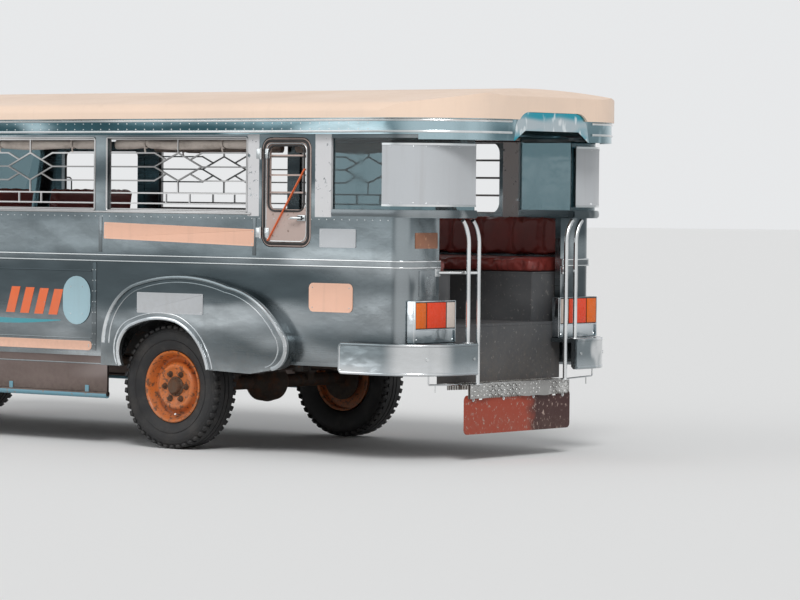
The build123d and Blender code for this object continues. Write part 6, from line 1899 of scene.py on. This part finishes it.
@dataclass
class CabDoorDress:
    """Window seal, lock, rivets and hinges of a cab door.

    Args:
        side: side of the vehicle.
        hinges: height of each hinge.
    """

    side: Side
    hinges: tuple[float, float] = (0.80, 1.35)

    def build(self) -> None:
        """Make the door's small pieces."""
        s = self.side.value
        label = self.side.label
        seal = Piece(f"cab_door_seal_{label}", SEAL, "tyre_rubber", f"front_door_{label}")
        window = upright((0.951, s * PANEL_Y, 1.29), (1.654, s * PANEL_Y, 1.845))
        seal.hoop(window, 0.055, 8, 0.008, start=(0.951, s * PANEL_Y, 1.56))
        seal.done()
        metal = Piece(f"cab_door_metal_{label}", body=f"front_door_{label}")
        for z in self.hinges:
            metal.block((1.672, s * 0.9525, z), (0.05, 0.003, 0.062), 0.001)
        metal.bar((0.985, s * 0.951, 1.035), (0.985, s * 0.961, 1.035), 0.012, 16)
        for k in range(9):
            metal.rivet((0.93 + 0.092 * k, s * 0.95, 0.635), self.side.out, 0.0042)
        metal.done()
        barrels = Piece(f"cab_hinges_{label}")
        for z in self.hinges:
            barrels.bar((1.717, s * 0.964, z - 0.036), (1.717, s * 0.964, z + 0.036), 0.0065, 14)
            barrels.block((1.748, s * 0.9515, z), (0.044, 0.003, 0.062), 0.001)
        barrels.done()


# Rear
@dataclass
class TailLamp:
    """Polished lamp box with three ribbed lenses.

    Args:
        side: side of the vehicle.
        outer: distance of its outer end from the middle.
        width: its width.
        low: height of its foot.
        high: height of its top.
        face_x: X of its face.
        back_x: X of the wall behind it.
        lenses: start and end of each lens as shares of the width, its finish and its name.
    """

    side: Side
    outer: float = 0.915
    width: float = 0.391
    low: float = 0.702
    high: float = 0.948
    face_x: float = -2.85
    back_x: float = -2.797
    lenses: tuple[tuple[float, float, Finish, str], ...] = (
        (0.03, 0.27, LENS_AMBER, "amber"),
        (0.30, 0.75, LENS_RED, "red"),
        (0.78, 0.97, LENS_WHITE, "white"),
    )

    def build(self) -> None:
        """Make the box, its lips and its lenses."""
        s = self.side.value
        label = self.side.label
        mid_y = s * (self.outer - self.width / 2)
        box = Piece(f"lamp_box_{label}", BUMPER, "grille_chrome")
        depth = self.back_x - self.face_x
        box.block(
            (self.back_x - depth / 2, mid_y, (self.low + self.high) / 2),
            (depth, self.width, self.high - self.low), 0.005, segments=3,
        )
        box.block((self.face_x + 0.016, mid_y, self.high - 0.002), (0.046, self.width - 0.004, 0.005), 0.002)
        for y in (self.outer - 0.004, self.outer - self.width + 0.004):
            box.block(
                (self.face_x - 0.003, s * y, (self.low + self.high) / 2),
                (0.010, 0.007, self.high - self.low - 0.006), 0.002,
            )
        box.block((self.face_x - 0.003, mid_y, 0.779), (0.009, self.width - 0.006, 0.007), 0.002)
        for y in (0.06, 0.94):
            box.rivet((self.face_x, s * (self.outer - y * self.width), 0.722), BACK, 0.006)
        box.done(["tail_lamps"])
        bezel = Piece(f"lamp_bezel_{label}", SEAL, "tyre_rubber")
        bezel.block((self.face_x - 0.001, mid_y, 0.863), (0.006, self.width * 0.965, 0.158), 0.002)
        bezel.done()
        for start, end, finish, tone in self.lenses:
            lens = Piece(f"lens_{tone}_{label}", finish, "lamp_red")
            y = s * (self.outer - (start + end) / 2 * self.width)
            lens.block(
                (self.face_x - 0.0055, y, 0.863), (0.008, (end - start) * self.width, 0.149), 0.0035,
                segments=3,
            )
            for dz in (-0.064, 0.064):
                lens.rivet((self.face_x - 0.009, y, 0.863 + dz), BACK, 0.0035)
            lens.done()


@dataclass
class RearDress:
    """Step lip and lozenges, bumper beads and bolts, mud board bolts and doorway panels.

    Args:
        step_x: X of the step's rear edge.
        step_half: half of the lip's length.
        step_z: height of the step's top.
    """

    step_x: float = -2.94
    step_half: float = 0.50
    step_z: float = 0.4565

    def add_step(self) -> None:
        """Bend a lip with raised slashes along the step and lay lozenges on its tread."""
        lip = Piece("step_lip", LIP_STEEL, "step_steel")
        section = [
            (0.03, 0.0), (0.03, 0.003), (-0.008, 0.003), (-0.012, -0.002), (-0.012, -0.082), (-0.008, -0.082),
            (-0.008, -0.004), (-0.004, 0.0),
        ]
        rings = []
        for k in range(121):
            y = -self.step_half + 2 * self.step_half * k / 120
            sway = 0.006 * math.sin(y * 9.0) + 0.003 * math.sin(y * 31.0)
            x, z = self.step_x + sway * 0.5, self.step_z
            rings.append(
                [Vector((x + dx, y, z + dz + sway * (1 if dz < -0.02 else 0.2))) for dx, dz in section]
            )
        lip.loft(rings)
        for k in range(34):
            y = -0.482 + 0.964 * k / 33
            for row, z in enumerate((0.441, 0.416, 0.391)):
                turn = Matrix.Rotation(math.radians(46 if (k + row) % 2 else -46), 3, "X")
                lip.block((self.step_x - 0.0125, y, z), (0.006, 0.0065, 0.023), 0.0015, turn, 1)
        lip.done()
        tread = Piece("step_lozenges", STEP_PLATE, "step_steel")
        for row in range(4):
            for k in range(26):
                turn = Matrix.Rotation(math.radians(45 if (k + row) % 2 else -45), 3, "Z")
                tread.block(
                    (-2.895 + 0.026 * row, -0.475 + 0.038 * k, self.step_z), (0.028, 0.008, 0.0035), 0.001,
                    turn, 1,
                )
        tread.done()

    def add_bumper_fittings(self) -> None:
        """Add the thin rods below the bumper, its bolts and its round caps."""
        rods = Piece("step_rods")
        bolts = Piece("bumper_bolts", CHROME, "bumper_chrome")
        for side in Side:
            s = side.value
            rods.pipe(
                rounded_path(
                    [(-2.89, s * 0.825, 0.52), (-2.89, s * 0.825, 0.462), (-2.89, s * 0.505, 0.452)], 0.012
                ),
                0.0045,
            )
            rods.pipe(rounded_path([(-2.89, s * 0.76, 0.46), (-2.89, s * 0.76, 0.415)], 0.01), 0.0035)
            for x, y, aside in ((-3.004, 0.54, 0.0), (-2.924, 0.88, 0.79)):
                bolts.bolt((x, s * y, 0.61), Vector((-1, s * aside, 0)), 0.011, 0.006, 12)
            for x, y in ((-2.958, 0.54), (-2.958, 0.441)):
                bolts.turned(
                    [(0, 0.032), (0.004, 0.031), (0.006, 0.016), (0.006, 0.0)],
                    (x, s * y, 0.7005 if y > 0.5 else self.step_z), UP, 20,
                )
        rods.done()
        bolts.done()

    def add_bumper_beads(self) -> None:
        """Roll a round bead along the top, the outer end and the foot of each bumper half."""
        face_x, half_y, corner, end_x, end_y = -2.998, 1.013, 0.363, -2.377, 0.502
        foot, top, turn = 0.525, 0.690, 0.022
        for side in Side:
            piece = Piece(f"bumper_beads_{side.label}", BUMPER, "bumper_chrome")
            plan = plan_path(face_x, half_y, corner, end_x - turn, end_y, side, 18)
            y = plan[0].y
            line = [point + Vector((0, 0, top)) for point in reversed(plan)]
            for start, sign in ((top, -1), (foot, 1)):
                bend = [
                    (turn * math.sin(a), turn * (1 - math.cos(a)))
                    for a in (math.pi / 2 * k / 6 for k in range(1, 7))
                ]
                spots = [Vector((end_x - turn + along, y, start + sign * across)) for along, across in bend]
                line += spots if sign < 0 else reversed(spots)
            line += [point + Vector((0, 0, foot)) for point in plan]
            piece.pipe(line, 0.011, 10)
            piece.done()

    def add_board_bolts(self) -> None:
        """Hang the mud board from bolts on washers."""
        trim = Piece("mud_board_bolts")
        for y in (-0.45, -0.15, 0.15, 0.45):
            trim.turned([(0, 0.011), (0.002, 0.011), (0.003, 0.0)], (-2.9345, y, 0.362), BACK, 14)
            trim.bolt((-2.9365, y, 0.362), BACK, 0.007, 0.005)
        trim.done()

    def add_doorway_panels(self) -> None:
        """Stand a plain panel on each side of the doorway."""
        panels = Piece("doorway_panels", STAINLESS, "stainless_panel")
        for side in Side:
            panels.block((-2.7965, side.value * 0.72, 1.045), (0.003, 0.16, 0.15), 0.001)
        panels.done()

    def build(self) -> None:
        """Make the rear's small pieces."""
        for side in Side:
            TailLamp(side).build()
        self.add_step()
        self.add_bumper_fittings()
        self.add_bumper_beads()
        self.add_board_bolts()
        self.add_doorway_panels()


# Front
@dataclass
class FrontDress:
    """Grille louvres, headlamp rims, indicators, wipers, hood fittings, arch beads and mirror shells.

    Args:
        nose_x: X of the nose's face.
        slots: number of the grille's slots.
        louvres: number of louvres in a slot.
        lean: how far the windscreen leans to the rear per metre of height.
    """

    nose_x: float = 3.031
    slots: int = 9
    louvres: int = 12
    lean: float = 0.12 / 0.67

    def add_grille(self) -> None:
        """Fill each slot with chrome louvres and frame the grille."""
        slats = Piece("grille_louvres")
        pitch = 0.52 / self.slots
        for k in range(self.slots):
            y = -0.26 + pitch * (k + 0.5)
            for row in range(self.louvres):
                z = 0.775 + 0.322 * row / (self.louvres - 1)
                slats.block(
                    (self.nose_x - 0.022, y, z), (0.026, pitch - 0.023, 0.004), 0.001,
                    Matrix.Rotation(math.radians(24), 3, "Y"), 1,
                )
        slats.done()
        border = Piece("grille_frame")
        border.hoop(upright((self.nose_x, 0.272, 0.745), (self.nose_x, -0.272, 1.127)), 0.03, 8, 0.009, 10)
        border.done()

    def add_lamps(self) -> None:
        """Ring the headlamps and add bowls and indicators."""
        rims = Piece("headlamp_rims", CHROME, "bumper_chrome")
        bowls = Piece("headlamp_bowls", MIRROR_GLASS, "lamp_glass")
        amber = Piece("front_indicators", LENS_AMBER, "lamp_red")
        for side in Side:
            centre = (self.nose_x, side.value * 0.335, 1.01)
            rim = [
                (0.0, 0.0895), (0.024, 0.0865), (0.0255, 0.09), (0.022, 0.099), (0.008, 0.106), (0.0, 0.107)
            ]
            rims.turned(rim + [rim[0]], centre, AHEAD, 48)
            bowls.turned(
                [(0.016, 0.082), (0.008, 0.07), (0.003, 0.045), (0.002, 0.014), (0.014, 0.012), (0.017, 0.0)],
                centre, AHEAD, 40,
            )
            low = (self.nose_x, side.value * 0.345, 0.835)
            rims.turned(
                [(0.0, 0.034), (0.010, 0.034), (0.012, 0.038), (0.010, 0.042), (0.0, 0.043), (0.0, 0.034)],
                low, AHEAD, 32,
            )
            amber.turned(
                [(0.002, 0.0335), (0.010, 0.033), (0.016, 0.024), (0.019, 0.012), (0.0195, 0.0)], low, AHEAD,
                32,
            )
        rims.done()
        bowls.done()
        amber.done()

    def before_glass(self, across: float, up: float, off: float = 0.014) -> Vector:
        """Return a point in front of the leaning windscreen."""
        return Vector((1.905 - self.lean * (up - 1.245) + off, across, up))

    def add_wipers(self) -> None:
        """Set two wipers on the windscreen."""
        piece = Piece("wipers", SEAL, "tyre_rubber")
        at = self.before_glass
        for y in (0.52, -0.34):
            piece.pipe([at(y, 1.285), at(y + 0.03, 1.31, 0.026), at(y + 0.20, 1.47, 0.02)], 0.0045)
            piece.pipe(
                [at(y + 0.06, 1.335, 0.010), at(y + 0.20, 1.47, 0.012), at(y + 0.33, 1.60, 0.010)], 0.0045
            )
            piece.turned(
                [(0.0, 0.014), (0.012, 0.012), (0.016, 0.0)], at(y, 1.285, 0.004), Vector((1, 0, self.lean)),
                16,
            )
        piece.done()

    def add_hood_fittings(self) -> None:
        """Hinge the hood and lay a trim line along its middle."""
        hinge = Piece("hood_hinges")
        for y in (-0.33, 0.33):
            hinge.bar((1.928, y - 0.035, 1.279), (1.928, y + 0.035, 1.279), 0.0065, 14)
            hinge.block((1.915, y, 1.266), (0.02, 0.05, 0.018), 0.003)
        hinge.done()
        lid = Piece("hood_trim", body="hood")
        spine = [Vector((1.97 + 0.92 * k / 12, 0.0, 1.2665 - 0.0445 * k / 12)) for k in range(13)]
        lid.pipe(spine, 0.008, 10)
        lid.done()

    def add_fender_beads(self) -> None:
        """Roll a bead round each front fender's arch and set a lamp on the fender."""
        for side in Side:
            piece = Piece(f"arch_bead_{side.label}", CHROME, "bumper_chrome")
            angles = [math.radians(20 + 140 * k / 40) for k in range(41)]
            spots = [(FRONT_AXLE_X + 0.457 * math.cos(a), AXLE_Z + 0.457 * math.sin(a)) for a in angles]
            arc = [Vector((x, side.value * 0.998, z)) for x, z in spots]
            piece.pipe(arc, 0.0065)
            piece.done()
            lamp = Piece(f"fender_lamp_{side.label}", LENS_AMBER, "lamp_red")
            lamp.turned(
                [(0.0, 0.03), (0.01, 0.029), (0.018, 0.02), (0.021, 0.0)], (2.62, side.value * 0.80, 0.985),
                UP, 28,
            )
            lamp.done()

    def add_mirrors(self) -> None:
        """Back the mirrors, ring their glass and clamp their arms."""
        for side in Side:
            s = side.value
            piece = Piece(f"mirror_shell_{side.label}", SEAL, "tyre_rubber")
            piece.plate((1.797, s * 1.075, 1.56), (0.008, 0.124, 0.204), 0.032, Axis.X)
            corners = [
                (1.7705, s * y, z) for y, z in ((1.134, 1.46), (1.134, 1.66), (1.016, 1.66), (1.016, 1.46))
            ]
            piece.hoop(corners, 0.03, 6, 0.005)
            for z in (1.4933, 1.6267):
                piece.block((1.782, s * 0.956, z), (0.04, 0.012, 0.034), 0.003)
            piece.done()

    def build(self) -> None:
        """Make the front's small pieces."""
        self.add_grille()
        self.add_lamps()
        self.add_wipers()
        self.add_hood_fittings()
        self.add_fender_beads()
        self.add_mirrors()


@dataclass
class EngineDress:
    """Rocker cover, air cleaner, fan and radiator under the hood.

    Args:
        top: height of the block's top.
        cover: rear and front end of the rocker cover.
        core_x: X of the radiator's middle.
    """

    top: float = 1.01
    cover: tuple[float, float] = (2.07, 2.60)
    core_x: float = 2.80

    def add_cover(self) -> None:
        """Set the ribbed rocker cover, its filler cap and its bolts on the block."""
        piece = Piece("rocker_cover", ENGINE_PAINT, "engine_iron")
        start, end = self.cover
        middle = (start + end) / 2
        piece.block((middle, -0.07, self.top + 0.006), (end - start + 0.03, 0.19, 0.012), 0.004)
        piece.block((middle, -0.07, self.top + 0.044), (end - start, 0.16, 0.076), 0.024, segments=4)
        for k in range(5):
            piece.block((start + 0.065 + 0.10 * k, -0.07, self.top + 0.0825), (0.014, 0.13, 0.006), 0.002)
        piece.done()
        metal = Piece("engine_metal", CHROME, "engine_iron")
        metal.turned(
            [(-0.002, 0.03), (0.008, 0.03), (0.012, 0.034), (0.024, 0.034), (0.028, 0.028), (0.028, 0.0)],
            (start + 0.11, -0.07, self.top + 0.082), UP, 24,
        )
        for k in range(3):
            metal.bolt((start + 0.215 + 0.13 * k, -0.07, self.top + 0.082), UP, 0.011, 0.012)
        for x in (start + 0.02, middle, end - 0.02):
            for y in (-0.158, 0.018):
                metal.bolt((x, y, self.top + 0.012), UP, 0.007, 0.007)
        metal.done()

    def add_cleaner(self) -> None:
        """Turn the round air cleaner and stand it on its elbow."""
        piece = Piece("air_cleaner", SEAL, "engine_iron")
        place = (2.26, 0.125, self.top)
        piece.turned(
            [
                (-0.002, 0.04), (0.03, 0.04), (0.034, 0.05), (0.04, 0.098), (0.046, 0.104), (0.085, 0.104),
                (0.09, 0.108), (0.096, 0.108), (0.104, 0.096), (0.108, 0.03), (0.106, 0.0),
            ],
            place, UP, 40,
        )
        piece.bolt((place[0], place[1], self.top + 0.106), UP, 0.012, 0.012)
        piece.block((place[0] - 0.10, place[1] + 0.03, self.top + 0.062), (0.12, 0.05, 0.035), 0.010)
        piece.done()

    def add_fan(self) -> None:
        """Bolt a four-bladed fan to the front of the block."""
        piece = Piece("cooling_fan", SEAL, "engine_iron")
        centre = (2.673, 0.0, 0.86)
        piece.turned(
            [(0.0, 0.034), (0.03, 0.034), (0.034, 0.05), (0.044, 0.05), (0.046, 0.02), (0.05, 0.0)], centre,
            AHEAD, 28,
        )
        for k in range(4):
            spin = Matrix.Rotation(math.radians(45 + 90 * k), 3, "X")
            place = Vector(centre) + Vector((0.043, 0, 0)) + spin @ Vector((0, 0, 0.095))
            piece.block(
                place, (0.003, 0.07, 0.12), 0.001, spin @ Matrix.Rotation(math.radians(24), 3, "Z"), 1
            )
        piece.done()

    def add_radiator(self) -> None:
        """Build the radiator's core, tanks, cap and the pipe to the block."""
        piece = Piece("radiator", FRAME_BLACK, "chassis_black")
        piece.block((self.core_x, 0.0, 0.875), (0.036, 0.46, 0.42), 0.004)
        for k in range(34):
            piece.block((self.core_x - 0.0185, 0.0, 0.68 + 0.0118 * k), (0.004, 0.44, 0.0035), 0.0)
        piece.block((self.core_x, 0.0, 1.105), (0.062, 0.48, 0.055), 0.016, segments=4)
        piece.block((self.core_x, 0.0, 0.6425), (0.062, 0.74, 0.055), 0.012)
        for side in Side:
            piece.block((self.core_x, side.value * 0.236, 0.87), (0.05, 0.014, 0.45), 0.003)
        route = rounded_path(
            [(self.core_x - 0.02, 0.10, 1.10), (2.72, 0.10, 1.10), (2.66, 0.06, 0.985), (2.62, 0.04, 0.96)],
            0.05, 8,
        )
        piece.pipe(route, 0.019, 14)
        piece.done()
        cap = Piece("radiator_cap", CHROME, "engine_iron")
        cap.turned(
            [(-0.002, 0.02), (0.008, 0.02), (0.01, 0.027), (0.02, 0.027), (0.024, 0.018), (0.024, 0.0)],
            (self.core_x, -0.12, 1.131), UP, 24,
        )
        cap.done()

    def build(self) -> None:
        """Make the engine's pieces."""
        self.add_cover()
        self.add_cleaner()
        self.add_fan()
        self.add_radiator()


# Cab and underside
@dataclass
class CabDress:
    """Gauges, switches, levers, pedals and the steering hub.

    Args:
        dash_x: X of the dashboard's face.
        driver_y: Y of the steering column.
    """

    dash_x: float = 1.675
    driver_y: float = 0.43

    def build(self) -> None:
        """Make the cab's small pieces."""
        rings = Piece("gauge_rings")
        faces = Piece("gauge_faces", SIGN_WHITE, "dash_paint")
        needles = Piece("gauge_needles", STRIPE_ORANGE, "dash_paint")
        for y, radius in ((0.43, 0.048), (0.55, 0.034), (0.31, 0.034)):
            spot = (self.dash_x, y, 1.15)
            rings.turned(
                [
                    (0.0, radius + 0.005), (0.010, radius + 0.004), (0.011, radius), (0.004, radius - 0.001),
                    (0.0, radius + 0.005),
                ],
                spot, BACK, 32,
            )
            faces.turned([(0.002, radius), (0.0035, radius), (0.0035, 0.0)], spot, BACK, 32)
            needles.block(
                (self.dash_x - 0.005, y + radius * 0.2, 1.15 + radius * 0.25), (0.0015, 0.003, radius * 0.9),
                0.0005, Matrix.Rotation(-0.7, 3, "X"),
            )
        for k in range(6):
            spot = (self.dash_x, 0.18 - 0.055 * k, 1.11)
            rings.turned([(0.0, 0.011), (0.014, 0.010), (0.017, 0.006), (0.018, 0.0)], spot, BACK, 16)
        rings.done()
        faces.done()
        needles.done()
        levers = Piece("cab_levers", SEAL, "wheel_plastic")
        levers.pipe(
            rounded_path([(1.50, 0.03, 0.80), (1.49, 0.03, 0.95), (1.42, 0.05, 1.14)], 0.05), 0.009, 10
        )
        levers.turned(
            [(-0.004, 0.010), (0.004, 0.021), (0.020, 0.026), (0.038, 0.021), (0.046, 0.0)],
            (1.42, 0.05, 1.14), Vector((-0.34, 0.1, 0.93)), 20,
        )
        levers.turned(
            [(0.0, 0.055), (0.012, 0.05), (0.03, 0.028), (0.05, 0.014), (0.05, 0.0)], (1.50, 0.03, 0.80), UP,
            24,
        )
        for y in (0.33, 0.43, 0.54):
            levers.block((1.70, y, 0.925), (0.012, 0.062, 0.075), 0.004, Matrix.Rotation(0.5, 3, "Y"))
            levers.bar((1.705, y, 0.935), (1.805, y, 1.0), 0.008)
        levers.done()
        hub = Piece("steering_hub", WHEEL_PLASTIC, "wheel_plastic", "steering_wheel")
        aim = Vector((-0.788011, 0, 0.615661))
        hub.turned(
            [(0.012, 0.046), (0.022, 0.045), (0.03, 0.038), (0.033, 0.0)], (1.515, self.driver_y, 1.275), aim,
            32,
        )
        hub.done()


@dataclass
class UndersideDress:
    """Tank straps and the tank's cap."""

    def build(self) -> None:
        """Make the underside's small pieces."""
        straps = Piece("tank_straps", SPRINGS, "spring_steel")
        for x in (0.27, 0.59):
            corners = [
                (-0.63, 0.418), (-0.862, 0.418), (-0.862, 0.692), (-0.398, 0.692), (-0.398, 0.418),
                (-0.63, 0.418),
            ]
            loop = rounded_path([(x, y, z) for y, z in corners], 0.05, 8)
            rings = [[p + AHEAD * dx for dx in (-0.016, 0.016)] for p in loop]
            straps.loft(rings, closed=False, caps=False)
        bmesh.ops.recalc_face_normals(straps.bm, faces=straps.bm.faces)
        bmesh.ops.solidify(straps.bm, geom=straps.bm.faces[:], thickness=-0.003)
        straps.done()
        clamps = Piece("exhaust_clamps", EXHAUST, "exhaust_steel")
        clamps.turned(
            [(0.0, 0.040), (0.022, 0.040), (0.026, 0.020), (0.026, 0.0)], (0.45, -0.861, 0.60),
            Side.RIGHT.out, 24,
        )
        clamps.done()


def dress_frame() -> None:
    """Give every CAD node its finish; the four tyres share one, and so do the four wheels."""
    for name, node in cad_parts.items():
        finish = CAD_FINISHES.get(name) or CAD_FINISHES[name.split("_")[0]]
        node.data.materials.clear()
        node.data.materials.append(finish.material())


def main() -> None:
    """Build the vehicle's pieces in order."""
    Studio().build()
    dress_frame()
    for spot, x, y in (("rear", REAR_AXLE_X, 0.825), ("front", FRONT_AXLE_X, 0.80)):
        for side in Side:
            RoadWheel(f"{spot}_{side.label}", (x, side.value * y, AXLE_Z), side).build()
    RolledCurtains().build()
    build_seats()
    for side in Side:
        BodyTrim(side).build()
        CabDoorDress(side).build()
    SignsAndStripes().build()
    EscapeDoorDress().build()
    RearDress().build()
    FrontDress().build()
    EngineDress().build()
    CabDress().build()
    UndersideDress().build()


if __name__ == "__main__":
    logging.basicConfig(level=logging.INFO, format="%(name)s %(message)s")
    main()
